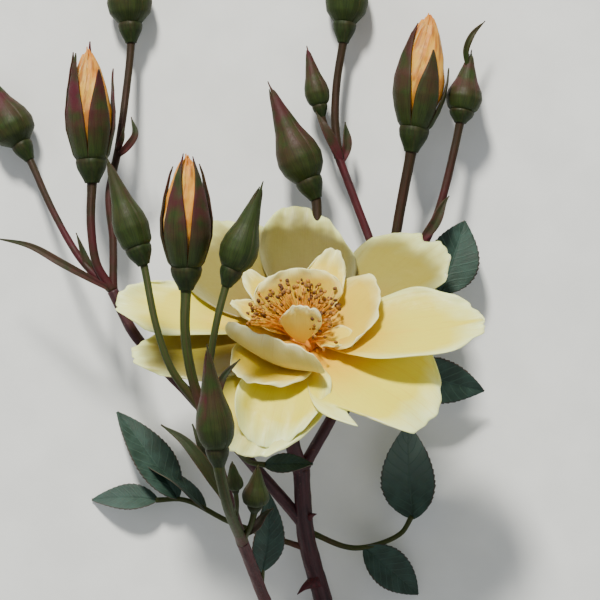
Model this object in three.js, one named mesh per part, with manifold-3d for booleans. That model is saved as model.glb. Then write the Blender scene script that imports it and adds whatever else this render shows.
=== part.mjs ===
// A cut flowering branch of a rose bush, lying on its back: +X right, +Y toward the
// buds at its top, +Z up from the floor. Millimetres.
// Places are given as (across, down, height): the first two are read from the photograph
// in its own pixels, the third is the height over the floor in millimetres.
import * as THREE from "three";
import Module from "manifold-3d";

const wasm = await Module();
wasm.setup();

// The view that the places are read in: straight down, the eye over the picture's middle.
const PICTURE_MIDDLE = 300;
const PIXELS_PER_MM = 4.244;
const BLOOM_HEIGHT = 42;
const EYE_OVER_BLOOM = 650;
const EYE_HEIGHT = BLOOM_HEIGHT + EYE_OVER_BLOOM;
const FOCAL_PIXELS = PIXELS_PER_MM * EYE_OVER_BLOOM;

// Clearance between two neighbouring solids.
const CLEAR = 0.3;

// How finely the solids are cut.
const LIMB_SIDES = 8;
const STALK_SIDES = 6;
const STEP_LENGTH = 7.5;
const BUD_SIDES = 8;
const PETAL_ROWS = 7;
const PETAL_COLUMNS = 6;
const SMALL_PETAL = 23;
const SMALL_PETAL_ROWS = 5;
const SMALL_PETAL_COLUMNS = 4;
const SEPAL_ROWS = 4;
const BRACT_ROWS = 5;

// Thicknesses.
const PETAL_THICK = 0.7;
const SEPAL_THICK = 0.8;
const LEAF_THICK = 0.7;
const BRACT_THICK = 0.6;

const turn = (degrees) => THREE.MathUtils.degToRad(degrees);
const vec = (x, y, z) => new THREE.Vector3(x, y, z);
const mix = THREE.MathUtils.lerp;

/** The point seen at a place of the picture, at a height over the floor. */
function at([across, down, height]) {
  const spread = (EYE_HEIGHT - height) / FOCAL_PIXELS;
  return vec(
    (across - PICTURE_MIDDLE) * spread,
    (PICTURE_MIDDLE - down) * spread,
    height,
  );
}

/** A value read along evenly spaced stations, with straight runs between them. */
function along(stations, share) {
  const spot = Math.min(Math.max(share, 0), 1) * (stations.length - 1);
  const low = Math.min(Math.floor(spot), stations.length - 2);
  return mix(stations[low], stations[low + 1], spot - low);
}

// The usual factor, step and range of a linear congruential run of numbers.
const DICE = { factor: 1664525, step: 1013904223, range: 2 ** 32 };

/** A repeatable run of numbers between 0 and 1. */
function dice(seed) {
  let state = seed;
  return () => {
    state = (state * DICE.factor + DICE.step) % DICE.range;
    return state / DICE.range;
  };
}

// Closed solids.

function solid(points, faces) {
  const vertProperties = new Float32Array(points.length * 3);
  points.forEach((p, i) => vertProperties.set([p.x, p.y, p.z], i * 3));
  const mesh = new wasm.Mesh({
    numProp: 3,
    vertProperties,
    triVerts: new Uint32Array(faces.flat()),
  });
  const made = new wasm.Manifold(mesh);
  if (made.volume() > 0) return made;
  const turned = new wasm.Mesh({
    numProp: 3,
    vertProperties,
    triVerts: new Uint32Array(faces.map(([a, b, c]) => [a, c, b]).flat()),
  });
  return new wasm.Manifold(turned);
}

/** Rings of equal count joined into one closed body, each end closed by a flat fan. */
function skin(rings) {
  const count = rings[0].length;
  const points = rings.flat();
  const faces = [];
  for (let i = 0; i + 1 < rings.length; i += 1) {
    for (let k = 0; k < count; k += 1) {
      const next = (k + 1) % count;
      const [a, b] = [i * count + k, i * count + next];
      faces.push([a, b, b + count], [a, b + count, a + count]);
    }
  }
  const ends = [
    [0, 1],
    [(rings.length - 1) * count, -1],
  ];
  for (const [first, side] of ends) {
    const ring = points.slice(first, first + count);
    const middle = ring.reduce((sum, p) => sum.add(p), vec(0, 0, 0));
    points.push(middle.divideScalar(count));
    const hub = points.length - 1;
    for (let k = 0; k < count; k += 1) {
      const pair = [first + k, first + ((k + 1) % count)];
      faces.push(side > 0 ? [hub, pair[1], pair[0]] : [hub, pair[0], pair[1]]);
    }
  }
  return solid(points, faces);
}

const PARALLEL = 1e-6;
const FALLBACK = vec(0.3, 0.9, 0.2);

/** A direction across a given one, as near as may be to a wanted one. */
function across(direction, wanted) {
  const side = wanted.clone().addScaledVector(direction, -wanted.dot(direction));
  if (side.length() < PARALLEL) return across(direction, FALLBACK);
  return side.normalize();
}

/** A round limb along a curve; the radius is read from stations along its length. */
function limb(path, radii, grow, sides = LIMB_SIDES, steps = 0) {
  const curve = new THREE.CatmullRomCurve3(path, false, "centripetal");
  const count = steps || Math.max(2, Math.round(curve.getLength() / STEP_LENGTH));
  let lead = vec(0, 0, 1);
  const rings = [];
  for (let i = 0; i <= count; i += 1) {
    const share = i / count;
    const heading = curve.getTangentAt(share);
    const middle = curve.getPointAt(share);
    if (i === 0) middle.addScaledVector(heading, -grow);
    if (i === count) middle.addScaledVector(heading, grow);
    lead = across(heading, lead);
    const side = heading.clone().cross(lead);
    const radius = along(radii, share) + grow;
    const ring = [];
    for (let k = 0; k < sides; k += 1) {
      const angle = (2 * Math.PI * k) / sides;
      ring.push(
        middle
          .clone()
          .addScaledVector(lead, radius * Math.cos(angle))
          .addScaledVector(side, radius * Math.sin(angle)),
      );
    }
    rings.push(ring);
  }
  return skin(rings);
}

/** A body turned about the line from one point to another, from rows of [share, radius]. */
function turned(from, to, rows, grow, sides = BUD_SIDES) {
  const axis = to.clone().sub(from);
  const heading = axis.clone().normalize();
  const lead = across(heading, vec(0, 0, 1));
  const side = heading.clone().cross(lead);
  const rings = rows.map(([share, radius], i) => {
    const middle = from.clone().addScaledVector(axis, share);
    if (i === 0) middle.addScaledVector(heading, -grow);
    if (i === rows.length - 1) middle.addScaledVector(heading, grow);
    return Array.from({ length: sides }, (_, k) => {
      const angle = (2 * Math.PI * k) / sides;
      return middle
        .clone()
        .addScaledVector(lead, (radius + grow) * Math.cos(angle))
        .addScaledVector(side, (radius + grow) * Math.sin(angle));
    });
  });
  return skin(rings);
}

/** The places of a grid's rim, in order round it. */
function rimOf(rows, columns) {
  const rim = [];
  for (let j = 0; j < columns; j += 1) rim.push([0, j]);
  for (let i = 0; i < rows; i += 1) rim.push([i, columns]);
  for (let j = columns; j > 0; j -= 1) rim.push([rows, j]);
  for (let i = rows; i > 0; i -= 1) rim.push([i, 0]);
  return rim;
}

/** At each point of a grid of facets, the direction square to those that meet there. */
function facetNormals(grid, rows, columns) {
  const index = (i, j) => i * (columns + 1) + j;
  const normals = grid.map(() => vec(0, 0, 0));
  for (let i = 0; i < rows; i += 1) {
    for (let j = 0; j < columns; j += 1) {
      const [a, b] = [index(i, j), index(i, j + 1)];
      const [c, d] = [index(i + 1, j + 1), index(i + 1, j)];
      for (const facet of [[a, b, c], [a, c, d]]) {
        const [p, q, r] = facet.map((spot) => grid[spot]);
        const square = r.clone().sub(p).cross(q.clone().sub(p)).normalize();
        facet.forEach((spot) => normals[spot].add(square));
      }
    }
  }
  return normals.map((normal) => normal.normalize());
}

/** A thin closed shell over a surface given by a function of u and v (v from -1 to 1). */
function shell(surface, rows, columns, thick, grow) {
  const index = (i, j) => i * (columns + 1) + j;
  const grid = [];
  for (let i = 0; i <= rows; i += 1) {
    for (let j = 0; j <= columns; j += 1) grid.push(surface(i / rows, (2 * j) / columns - 1));
  }
  const normals = facetNormals(grid, rows, columns);
  const between = (a, b) => grid[b].clone().sub(grid[a]);
  const rim = rimOf(rows, columns);
  const rimSpots = rim.map(([i, j]) => index(i, j));
  const spots = grid.map((p) => p.clone());
  rimSpots.forEach((spot, k) => {
    const before = rimSpots.at(k - 1);
    const after = rimSpots[(k + 1) % rimSpots.length];
    const outward = normals[spot].clone().cross(between(before, after)).normalize();
    spots[spot].addScaledVector(outward, grow);
  });
  const half = thick / 2 + grow;
  const face = (side) => spots.map((p, k) => p.clone().addScaledVector(normals[k], side * half));
  const offset = grid.length;
  const faces = [];
  const quad = (a, b, c, d) => faces.push([a, b, c], [a, c, d]);
  for (let i = 0; i < rows; i += 1) {
    for (let j = 0; j < columns; j += 1) {
      const [a, b] = [index(i, j), index(i, j + 1)];
      const [c, d] = [index(i + 1, j + 1), index(i + 1, j)];
      quad(a, b, c, d);
      quad(offset + a, offset + d, offset + c, offset + b);
    }
  }
  rimSpots.forEach((a, k) => {
    const b = rimSpots[(k + 1) % rimSpots.length];
    quad(a, offset + a, offset + b, b);
  });
  return solid([...face(1), ...face(-1)], faces);
}

const joined = (bodies) => wasm.Manifold.union(bodies);

// The stems.

const STEMS = {
  main_stem: {
    path: [[360, 745, 2.8], [338, 660, 3.6], [322, 596, 6], [306, 535, 11], [301, 468, 17]],
    radii: [2.7, 2.6, 2.3, 2.2, 2.0],
  },
  bloom_stalk: {
    path: [[301, 472, 16.6], [292, 440, 22], [294, 412, 27.5], [302, 372, 35]],
    radii: [1.9, 1.8, 1.7, 1.6],
  },
  right_stem: {
    path: [[302, 470, 17], [328, 424, 19], [355, 375, 18], [388, 300, 15]],
    radii: [1.5, 1.35, 1.3, 1.25],
  },
  top_stem: {
    path: [[388, 300, 15], [375, 255, 13], [355, 200, 11], [339, 158, 9.5]],
    radii: [1.2, 1.05, 1.0, 1.0],
  },
  left_stem: {
    path: [[294, 512, 13], [240, 450, 20], [190, 395, 24], [135, 335, 26], [113, 291, 25]],
    radii: [1.6, 1.4, 1.35, 1.3, 1.3],
  },
  front_stem_lower: {
    path: [[345, 690, 5], [318, 665, 12], [285, 640, 22], [265, 600, 33], [242, 541, 54]],
    radii: [1.7, 1.6, 1.5, 1.4, 1.4],
  },
  front_stem_upper: {
    path: [[242, 541, 54], [228, 497, 62], [204, 413, 71]],
    radii: [1.3, 1.2, 1.1],
  },
};

const THORN = { foot: [317, 580, 8], tip: [296, 592, 10], radii: [2.1, 1.0, 0.15] };
const SIDE_THORNS = [
  { foot: [330, 640, 5], tip: [344, 628, 7], radii: [1.8, 0.8, 0.15] },
  { foot: [306, 520, 12], tip: [316, 512, 17], radii: [1.5, 0.7, 0.15] },
];

function stem(name, grow) {
  const { path, radii } = STEMS[name];
  const bodies = [limb(path.map(at), radii, grow)];
  if (name === "main_stem") {
    for (const thorn of [THORN, ...SIDE_THORNS]) {
      bodies.push(limb([at(thorn.foot), at(thorn.tip)], thorn.radii, grow, STALK_SIDES, 2));
    }
  }
  return joined(bodies);
}

// The buds. Each has its stalk, hip and sepals in one solid; where the petals show they
// are a solid of their own inside the sepals.

const HIP_SHARE = 0.2;
const CLOSED_ROWS = [
  [0, 0.42],
  [0.035, 0.6],
  [0.085, 0.84],
  [0.14, 1.0],
  [0.2, 0.95],
];
const CALYX_ROWS = [
  [0.26, 0.88],
  [0.35, 1.0],
  [0.45, 0.9],
  [0.6, 0.55],
  [0.8, 0.27],
  [1.0, 0.06],
];
const CONE_ROWS = [
  [0.235, 0.3],
  [0.3, 0.64],
  [0.4, 0.87],
  [0.52, 0.9],
  [0.68, 0.76],
  [0.84, 0.5],
  [1.0, 0.08],
];
const CUP_ROW = [0.225, 0.7];

const BUDS = {
  bud_left_edge: {
    stalk: [[113, 291, 25], [83, 262, 22], [55, 215, 15], [30, 160, 6.4]],
    tip: [-22, 65, 4.1],
    hip: 2.9,
    body: 5.2,
    stalkRadii: [1.0, 0.85, 0.9],
  },
  bud_left_opening: {
    stalk: [[113, 291, 25], [97, 265, 25], [91, 225, 24], [92, 183, 22]],
    tip: [88, 47, 22],
    hip: 4.2,
    body: 5.9,
    stalkRadii: [1.1, 1.05, 1.15],
    open: { turned: 15, reach: [0.93, 0.78, 1.05, 0.9, 0.86], flare: 0.5 },
  },
  bud_left_top: {
    stalk: [[113, 291, 25], [113, 240, 22], [109, 195, 19], [118, 150, 15], [127, 85, 9], [131, 43, 6.1]],
    tip: [126, -72, 4.2],
    hip: 3.3,
    body: 5.2,
    stalkRadii: [1.0, 0.95, 0.95, 0.95, 0.95],
  },
  bud_front_pointed: {
    stalk: [[203, 411, 71], [172, 370, 73], [156, 325, 73], [144, 265, 70]],
    tip: [107, 159, 70],
    hip: 3.3,
    body: 3.6,
    stalkRadii: [1.0, 0.8, 0.85],
  },
  bud_front_opening: {
    stalk: [[203, 413, 71], [190, 368, 74], [185, 330, 75], [186, 290, 74]],
    tip: [187, 153, 78],
    hip: 3.9,
    body: 5.7,
    stalkRadii: [1.2, 1.1, 1.15],
    open: { turned: 54, reach: [0.98, 0.92, 0.86, 0.9, 1.0], flare: 0.15 },
  },
  bud_front_dark: {
    stalk: [[204, 412, 71], [209, 368, 76], [216, 325, 78], [226, 286, 76]],
    tip: [262, 184, 78],
    hip: 2.9,
    body: 3.9,
    stalkRadii: [0.9, 0.8, 0.85],
  },
  bud_front_near: {
    stalk: [[242, 541, 54], [228, 507, 74], [219, 468, 83]],
    tip: [207, 347, 90],
    hip: 2.9,
    body: 3.8,
    stalkRadii: [1.3, 1.2, 1.2],
  },
  bud_front_small: {
    stalk: [[243, 538, 55], [250, 527, 59], [254, 513, 62]],
    tip: [258, 466, 66],
    hip: 1.9,
    body: 2.6,
    stalkRadii: [0.8, 0.7, 0.7],
  },
  bud_front_tiny: {
    stalk: [[235, 517, 60], [237, 505, 65], [236, 495, 66]],
    tip: [232, 462, 69],
    hip: 1.0,
    body: 1.3,
    stalkRadii: [0.7, 0.5, 0.5],
  },
  bud_top: {
    stalk: [[339, 158, 9.5], [335, 120, 8], [337, 80, 6.4], [343, 43, 5.6]],
    tip: [353, -75, 4.1],
    hip: 3.2,
    body: 4.9,
    stalkRadii: [1.1, 1.0, 1.0],
  },
  bud_top_small: {
    stalk: [[340, 160, 9.5], [330, 140, 9.6], [322, 117, 9]],
    tip: [307, 48, 8],
    hip: 2.1,
    body: 2.5,
    stalkRadii: [0.9, 0.8, 0.8],
  },
  bud_back_closed: {
    stalk: [[342, 398, 18.5], [325, 320, 17], [318, 240, 14], [316, 199, 12]],
    tip: [269, 85, 12],
    hip: 3.7,
    body: 5.2,
    stalkRadii: [1.2, 1.1, 1.2],
  },
  bud_right_opening: {
    stalk: [[388, 300, 15], [396, 235, 15], [411, 152, 14]],
    tip: [430, 11, 14],
    hip: 4.1,
    body: 6.5,
    stalkRadii: [1.3, 1.25, 1.3],
    open: { turned: 20, reach: [0.72, 0.62, 0.85, 0.85, 0.9], flare: 0.1 },
  },
  bud_right_closed: {
    stalk: [[388, 300, 15], [412, 265, 15], [437, 215, 14], [460, 123, 11]],
    tip: [471, 52, 9],
    hip: 3.4,
    body: 4.0,
    stalkRadii: [1.1, 1.0, 1.0],
  },
};

// How far the sepals stand off the petals besides the clearance.
const SEPAL_STAND = 0.4;
// Where the sepals leave the hip, as a share of its radius.
const SEPAL_BASE = 0.88;
// Half the angle that a sepal takes up at its foot and at its tip, in radians, and how
// late it narrows and its tip stands off.
const SEPAL_HALF = 0.6;
const SEPAL_TIP_HALF = 0.05;
const SEPAL_NARROWING = 1.4;
const FLARE_POWER = 4;

const scaled = (rows, size) => rows.map(([share, radius]) => [share, radius * size]);

/** The radius at a share along a body given by rows of [share, radius]. */
function radiusAt(rows, share) {
  for (let i = 0; i + 1 < rows.length; i += 1) {
    const [s0, r0] = rows[i];
    const [s1, r1] = rows[i + 1];
    if (share <= s1) return mix(r0, r1, Math.max(0, share - s0) / (s1 - s0));
  }
  return rows.at(-1)[1];
}

/** One sepal that lies along the rolled petals of an opening bud. */
function sepal(from, to, { body, hip, angle, reach, flare }, grow) {
  const axis = to.clone().sub(from);
  const heading = axis.clone().normalize();
  const lead = across(heading, vec(0, 0, 1));
  const side = heading.clone().cross(lead);
  const stand = CLEAR + SEPAL_THICK / 2 + SEPAL_STAND;
  const rows = [[HIP_SHARE, SEPAL_BASE * hip - stand], ...scaled(CONE_ROWS.slice(1), body)];
  const surface = (u, v) => {
    const share = mix(HIP_SHARE, reach, u);
    const radius = radiusAt(rows, share) + stand + flare * body * u ** FLARE_POWER;
    const turnBy = angle + v * mix(SEPAL_HALF, SEPAL_TIP_HALF, u ** SEPAL_NARROWING);
    return from
      .clone()
      .addScaledVector(axis, share)
      .addScaledVector(lead, radius * Math.cos(turnBy))
      .addScaledVector(side, radius * Math.sin(turnBy));
  };
  return shell(surface, SEPAL_ROWS, 2, SEPAL_THICK, grow);
}

function bud(name, grow) {
  const { stalk, tip, hip, body, stalkRadii, open } = BUDS[name];
  const path = stalk.map(at);
  const from = path.at(-1);
  const to = at(tip);
  const heading = to.clone().sub(from).normalize();
  const bodies = [
    limb([...path, from.clone().addScaledVector(heading, 1)], stalkRadii, grow, STALK_SIDES),
  ];
  const hipRows = scaled(CLOSED_ROWS, hip);
  if (open) {
    bodies.push(turned(from, to, [...hipRows, ...scaled([CUP_ROW], hip)], grow));
    open.reach.forEach((reach, k) => {
      const angle = turn(open.turned + 72 * k);
      bodies.push(sepal(from, to, { body, hip, angle, reach, flare: open.flare }, grow));
    });
  } else {
    bodies.push(turned(from, to, [...hipRows, ...scaled(CALYX_ROWS, body)], grow));
  }
  return joined(bodies);
}

function budPetals(name, grow) {
  const { stalk, tip, body } = BUDS[name];
  return turned(at(stalk.at(-1)), at(tip), scaled(CONE_ROWS, body), grow);
}

// The open bloom. Its own frame: right, back (up in the picture and down to the floor)
// and out along its axis.

const BLOOM_MIDDLE = vec(1.0, -9.6, BLOOM_HEIGHT);
const BLOOM_TILT = turn(50);
const BLOOM_RIGHT = vec(1, 0, 0);
const BLOOM_BACK = vec(0, Math.cos(BLOOM_TILT), -Math.sin(BLOOM_TILT));
const BLOOM_AXIS = vec(0, Math.sin(BLOOM_TILT), Math.cos(BLOOM_TILT));

const inBloom = (right, back, out) =>
  BLOOM_MIDDLE.clone()
    .addScaledVector(BLOOM_RIGHT, right)
    .addScaledVector(BLOOM_BACK, back)
    .addScaledVector(BLOOM_AXIS, out);

// azimuth: where the petal points, in degrees from the bloom's right; foot and out: how
// far from the axis and how far out along it the petal starts; lifts: its slope at evenly
// spaced stations; swing: how far it turns sideways; cup: how much its sides rise, in
// radians; round: how far its corners fall back; notch: depth, place and width of the
// dent in its edge; slant: how much shorter its left side is; ripple: height of the waves
// along the edge; widest: where along it is widest; waist: how late it widens.
const PETALS = {
  petal_right: {
    azimuth: -12, foot: 3.2, out: 0.4, length: 40, half: 12.5, lifts: [20, 14, 10, 4],
    swing: 25, cup: 0.4, round: 0.22, point: 0.07,
  },
  petal_upper_right: {
    azimuth: 46, foot: 3.2, out: -1.6, length: 44, half: 12, lifts: [14, 8, 4, 0],
    cup: 0.12, round: 0.2, notch: [0.05, 0.1, 0.2], widest: 0.95, waist: 1.5,
  },
  petal_top: {
    azimuth: 88, foot: 3.2, out: 1.2, length: 40.5, half: 12.2, lifts: [12, 2, 2, 12],
    cup: 0.4, round: 0.24, slant: -0.12,
  },
  petal_upper_left: {
    azimuth: 124, foot: 3.2, out: 0.3, length: 43, half: 15, lifts: [12, 4, 2, 2],
    cup: 0.12, round: 0.2, slant: 0.07,
  },
  petal_left: {
    azimuth: 166, foot: 3.2, out: -0.6, length: 43, half: 10, lifts: [12, 4, 2, 2],
    cup: 0.3, round: 0.26, widest: 0.92, waist: 2.8,
  },
  petal_left_under: {
    azimuth: 186, foot: 3.2, out: -1.6, length: 37.5, half: 11, lifts: [2, 2, 0, 0],
    cup: 0.1, round: 0.3,
  },
  petal_bottom_under: {
    azimuth: 246, foot: 3.2, out: -1.6, length: 33, half: 13.5, lifts: [0, -4, -12, -20],
    cup: 0.1, round: 0.25,
  },
  petal_bottom: {
    azimuth: 256, foot: 3.2, out: 0, length: 30.5, half: 10.8, lifts: [4, 0, -16, -38],
    cup: 0.3, round: 0.26, slant: 0.07, ripple: 0.8,
  },
  petal_lower_right: {
    azimuth: 320, foot: 3.2, out: -0.6, length: 35.5, half: 18.2, lifts: [8, 2, -6, -24],
    cup: 0.15, round: 0.3, notch: [0.2, -0.77, 0.15], slant: 0.08, ripple: 0.6,
  },
  petal_inner_front: {
    azimuth: 240, foot: 2.8, out: 1.4, length: 22, half: 13.5, lifts: [2, 2, 40, 88, 95],
    cup: 0.35, round: 0.04,
  },
  petal_inner_under: {
    azimuth: 236, foot: 3.0, out: 0.6, length: 21.5, half: 10.4, lifts: [2, 8, 16, 26],
    cup: 0.4, round: 0.3,
  },
  petal_inner_right: {
    azimuth: 9, foot: 2.8, out: 1.4, length: 18.5, half: 11.4, lifts: [10, 25, 40, 52],
    cup: 0.5, round: 0.25, slant: -0.2,
  },
  petal_inner_top: {
    azimuth: 68, foot: 2.8, out: 1.4, length: 20.5, half: 5.6, lifts: [30, 34, 36, 46],
    cup: 0.6, round: 0.3, ripple: 0.5,
  },
  petal_inner_back: {
    azimuth: 104, foot: 2.8, out: 1.4, length: 14.5, half: 12, lifts: [36, 44, 56, 70],
    cup: 0.8, round: 0.2, ripple: 0.4,
  },
  petal_inner_left: {
    azimuth: 138, foot: 2.8, out: 1.4, length: 19, half: 4.5, lifts: [25, 28, 32, 40],
    cup: 0.6, round: 0.35,
  },
  petal_inner_left_low: {
    azimuth: 166, foot: 2.8, out: 1.4, length: 16.5, half: 4, lifts: [22, 24, 26, 30],
    cup: 0.6, round: 0.35,
  },
  petal_centre: {
    azimuth: 250, foot: 2.8, out: 1.8, length: 12.5, half: 5.6, lifts: [76, 82, 88, 92],
    cup: 0.5, round: 0.3, slant: -0.2,
  },
  petal_lip: {
    azimuth: 335, foot: 2.8, out: 1.4, length: 11, half: 4.5, lifts: [20, 20, 16, 8],
    cup: 0.5, round: 0.3,
  },
};

const PETAL_FOOT_WIDTH = 0.12;
const PETAL_FOOT_HALF = 1.3;
const PETAL_WIDEST = 0.7;
const PETAL_END_WIDTH = 0.84;
const PETAL_WAIST = 1.15;

/** Half the width of a petal at a share of its length, as a share of its widest. */
function petalWidth(share, widest, waist) {
  if (share > widest) {
    const past = (share - widest) / (1 - widest);
    return mix(1, PETAL_END_WIDTH, past * past);
  }
  const rise = Math.sin((Math.PI / 2) * (share / widest)) ** waist;
  return mix(PETAL_FOOT_WIDTH, 1, rise);
}

const SPINE_STATIONS = 24;
const SWING_POWER = 1.5;

/** The spine of a petal: its place, slope and azimuth as a function of its length. */
function petalSpine({ azimuth, foot, out, length, lifts, swing = 0 }) {
  const step = length / SPINE_STATIONS;
  const aimAt = (share) => turn(azimuth + swing * share ** SWING_POWER);
  let [right, back, up] = [foot * Math.cos(aimAt(0)), foot * Math.sin(aimAt(0)), out];
  const spine = [];
  for (let i = 0; i <= SPINE_STATIONS; i += 1) {
    const share = i / SPINE_STATIONS;
    const [lift, aim] = [turn(along(lifts, share)), aimAt(share)];
    spine.push({ right, back, up, lift, aim });
    right += step * Math.cos(lift) * Math.cos(aim);
    back += step * Math.cos(lift) * Math.sin(aim);
    up += step * Math.sin(lift);
  }
  const keys = Object.keys(spine[0]);
  return (share) => {
    const read = (key) => along(spine.map((station) => station[key]), share);
    return Object.fromEntries(keys.map((key) => [key, read(key)]));
  };
}

/** A point beside the spine of a blade: so far sideways, and so far up square to it. */
function beside({ right, back, up, lift, aim }, sideways, raised) {
  const inward = -Math.sin(lift) * raised;
  return inBloom(
    right - sideways * Math.sin(aim) + inward * Math.cos(aim),
    back + sideways * Math.cos(aim) + inward * Math.sin(aim),
    up + Math.cos(lift) * raised,
  );
}

// How sharply a petal's corners fall back, and how narrow the point at its tip is.
const CORNER_POWER = 2.4;
const POINT_WIDTH = 0.12;
// The least share of its cup that a petal keeps at foot and tip.
const LEAST_CUP = 0.35;
const FLATTEST = 0.001;
const RIPPLES = 7;

/** The middle surface of a petal as a function of u along it and v across it. */
function petalSurface(petal) {
  const { half, cup, round, notch, point = 0, ripple = 0, slant = 0 } = petal;
  const { widest = PETAL_WIDEST, waist = PETAL_WAIST } = petal;
  const spine = petalSpine(petal);
  return (u, v) => {
    let end = 1 - round * Math.abs(v) ** CORNER_POWER - slant * v;
    if (notch) {
      const [depth, place, width] = notch;
      end -= depth * Math.exp(-(((v - place) / width) ** 2));
    }
    end += point * Math.exp(-((v / POINT_WIDTH) ** 2));
    const share = u * end;
    const cupped = mix(LEAST_CUP, 1, Math.sin(Math.PI * Math.min(1, share)));
    const bend = Math.max(cup * cupped, FLATTEST);
    const width = Math.max(half * petalWidth(u, widest, waist), PETAL_FOOT_HALF);
    const wave = ripple * u * u * Math.sin(RIPPLES * v + 2 * half);
    const sideways = (width * Math.sin(v * bend)) / bend;
    const raised = (width * (1 - Math.cos(v * bend))) / bend + wave;
    return beside(spine(share), sideways, raised);
  };
}

function petal(name, grow) {
  const small = PETALS[name].length < SMALL_PETAL;
  const rows = small ? SMALL_PETAL_ROWS : PETAL_ROWS;
  const columns = small ? SMALL_PETAL_COLUMNS : PETAL_COLUMNS;
  return shell(petalSurface(PETALS[name]), rows, columns, PETAL_THICK, grow);
}

// Under the bloom: the hip and five sepals folded back.

const HIP_ROWS = [
  [-9.6, 1.7],
  [-8.6, 2.9],
  [-6.4, 3.9],
  [-4.2, 3.7],
  [-2.8, 3.0],
  [-1.9, 3.3],
  [-1.4, 2.9],
];
const HIP_LENGTH = 10;
const BLOOM_SEPALS = { count: 5, first: 30, half: 2.6, tip: 0.35, widest: 0.3, keel: 0.22 };
const SEPAL_LINE = { foot: 2.2, out: -2.4, length: 18, lifts: [-12, -34, -62, -76] };

/** A sepal folded back under the bloom; it narrows to its tip, its rows square to it. */
function foldedSepal(azimuth) {
  const { half, tip, widest, keel } = BLOOM_SEPALS;
  const spine = petalSpine({ ...SEPAL_LINE, azimuth });
  return (u, v) => {
    const rise = mix(0.5, 1, Math.min(1, u / widest));
    const fall = Math.max(0, u - widest) / (1 - widest);
    const width = mix(half * rise, tip, fall);
    return beside(spine(u), v * width, keel * Math.abs(v) * width);
  };
}

function bloomHip(grow) {
  const low = inBloom(0, 0, -HIP_LENGTH);
  const rows = HIP_ROWS.map(([out, radius]) => [(out + HIP_LENGTH) / HIP_LENGTH, radius]);
  const bodies = [turned(low, inBloom(0, 0, 0), rows, grow)];
  for (let k = 0; k < BLOOM_SEPALS.count; k += 1) {
    const sheet = foldedSepal(BLOOM_SEPALS.first + (360 * k) / BLOOM_SEPALS.count);
    bodies.push(shell(sheet, SEPAL_ROWS, 2, SEPAL_THICK, grow));
  }
  return joined(bodies);
}

// The stamens: a low boss with filaments fanned out of it, each with its anther.

const STAMENS = { count: 27, boss: 2.5, reach: 12, height: 13, filament: 0.36, anther: 0.8, lean: -2 };
const STAMEN_SIDES = 3;
const STAMEN_SEED = 7;
// The angle from one stamen to the next, which spreads them evenly.
const GOLDEN_ANGLE = turn(137.5);
// The bottom and top of the boss along the bloom's axis, and where the stamens leave it.
const BOSS = { bottom: -1.1, top: 1.6, leave: 0.4, shoulder: 0.7, narrow: 0.55 };

function stamens(grow) {
  const roll = dice(STAMEN_SEED);
  const { count, boss, filament, anther, lean } = STAMENS;
  const bossRows = [[0, boss], [BOSS.shoulder, boss], [1, BOSS.narrow * boss]];
  const bodies = [turned(inBloom(0, 0, BOSS.bottom), inBloom(0, 0, BOSS.top), bossRows, grow)];
  const rows = [[0, filament], [0.88, filament], [0.93, anther], [1, 0.5 * anther]];
  for (let k = 0; k < count; k += 1) {
    const angle = k * GOLDEN_ANGLE;
    const spread = Math.sqrt((k + 0.5) / count);
    const reach = STAMENS.reach * mix(0.2, 1, spread) * mix(0.9, 1.05, roll());
    const height = STAMENS.height * mix(1, 0.7, spread) * mix(0.9, 1.08, roll());
    const start = mix(0.5, 2.1, spread);
    const foot = inBloom(start * Math.cos(angle), start * Math.sin(angle), BOSS.leave);
    const tip = inBloom(reach * Math.cos(angle) + lean, reach * Math.sin(angle), height);
    bodies.push(turned(foot, tip, rows, grow, STAMEN_SIDES));
  }
  return joined(bodies);
}

// The leaves: toothed leaflets on a thin stalk.

const LEAF_TEETH = 5;
const TOOTH = 0.07;
const LEAF_STALK_RADII = [0.75, 0.6];
const LEAF_TIP_HALF = 0.35;
// Where a leaflet is widest, how full its outline is and how it narrows to its tip; how
// high its middle bows, and how far its two halves fold up.
const LEAF_FORM = { widest: 0.82, full: 0.8, narrow: 0.18, bow: 0.06, fold: 0.25 };

/** A toothed leaflet between two places, lying across the given upward direction. */
function leaflet(from, to, half, up, grow) {
  const { widest, full, narrow, bow, fold } = LEAF_FORM;
  const axis = to.clone().sub(from);
  const length = axis.length();
  const heading = axis.clone().normalize();
  const over = across(heading, up);
  const side = heading.clone().cross(over);
  const surface = (u, v) => {
    const outward = Math.round(u * 2 * LEAF_TEETH) % 2 ? 1 : -1;
    const tooth = Math.abs(v) === 1 ? TOOTH * outward : 0;
    const outline = Math.sin(Math.PI * u ** widest) ** full * (1 + tooth) * (1 - narrow * u);
    const width = Math.max(half * outline, LEAF_TIP_HALF);
    const raised = bow * length * Math.sin(Math.PI * u) + fold * Math.abs(v) * width;
    return from
      .clone()
      .addScaledVector(heading, u * length)
      .addScaledVector(side, v * width)
      .addScaledVector(over, raised);
  };
  return shell(surface, 2 * LEAF_TEETH, 2, LEAF_THICK, grow);
}

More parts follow.
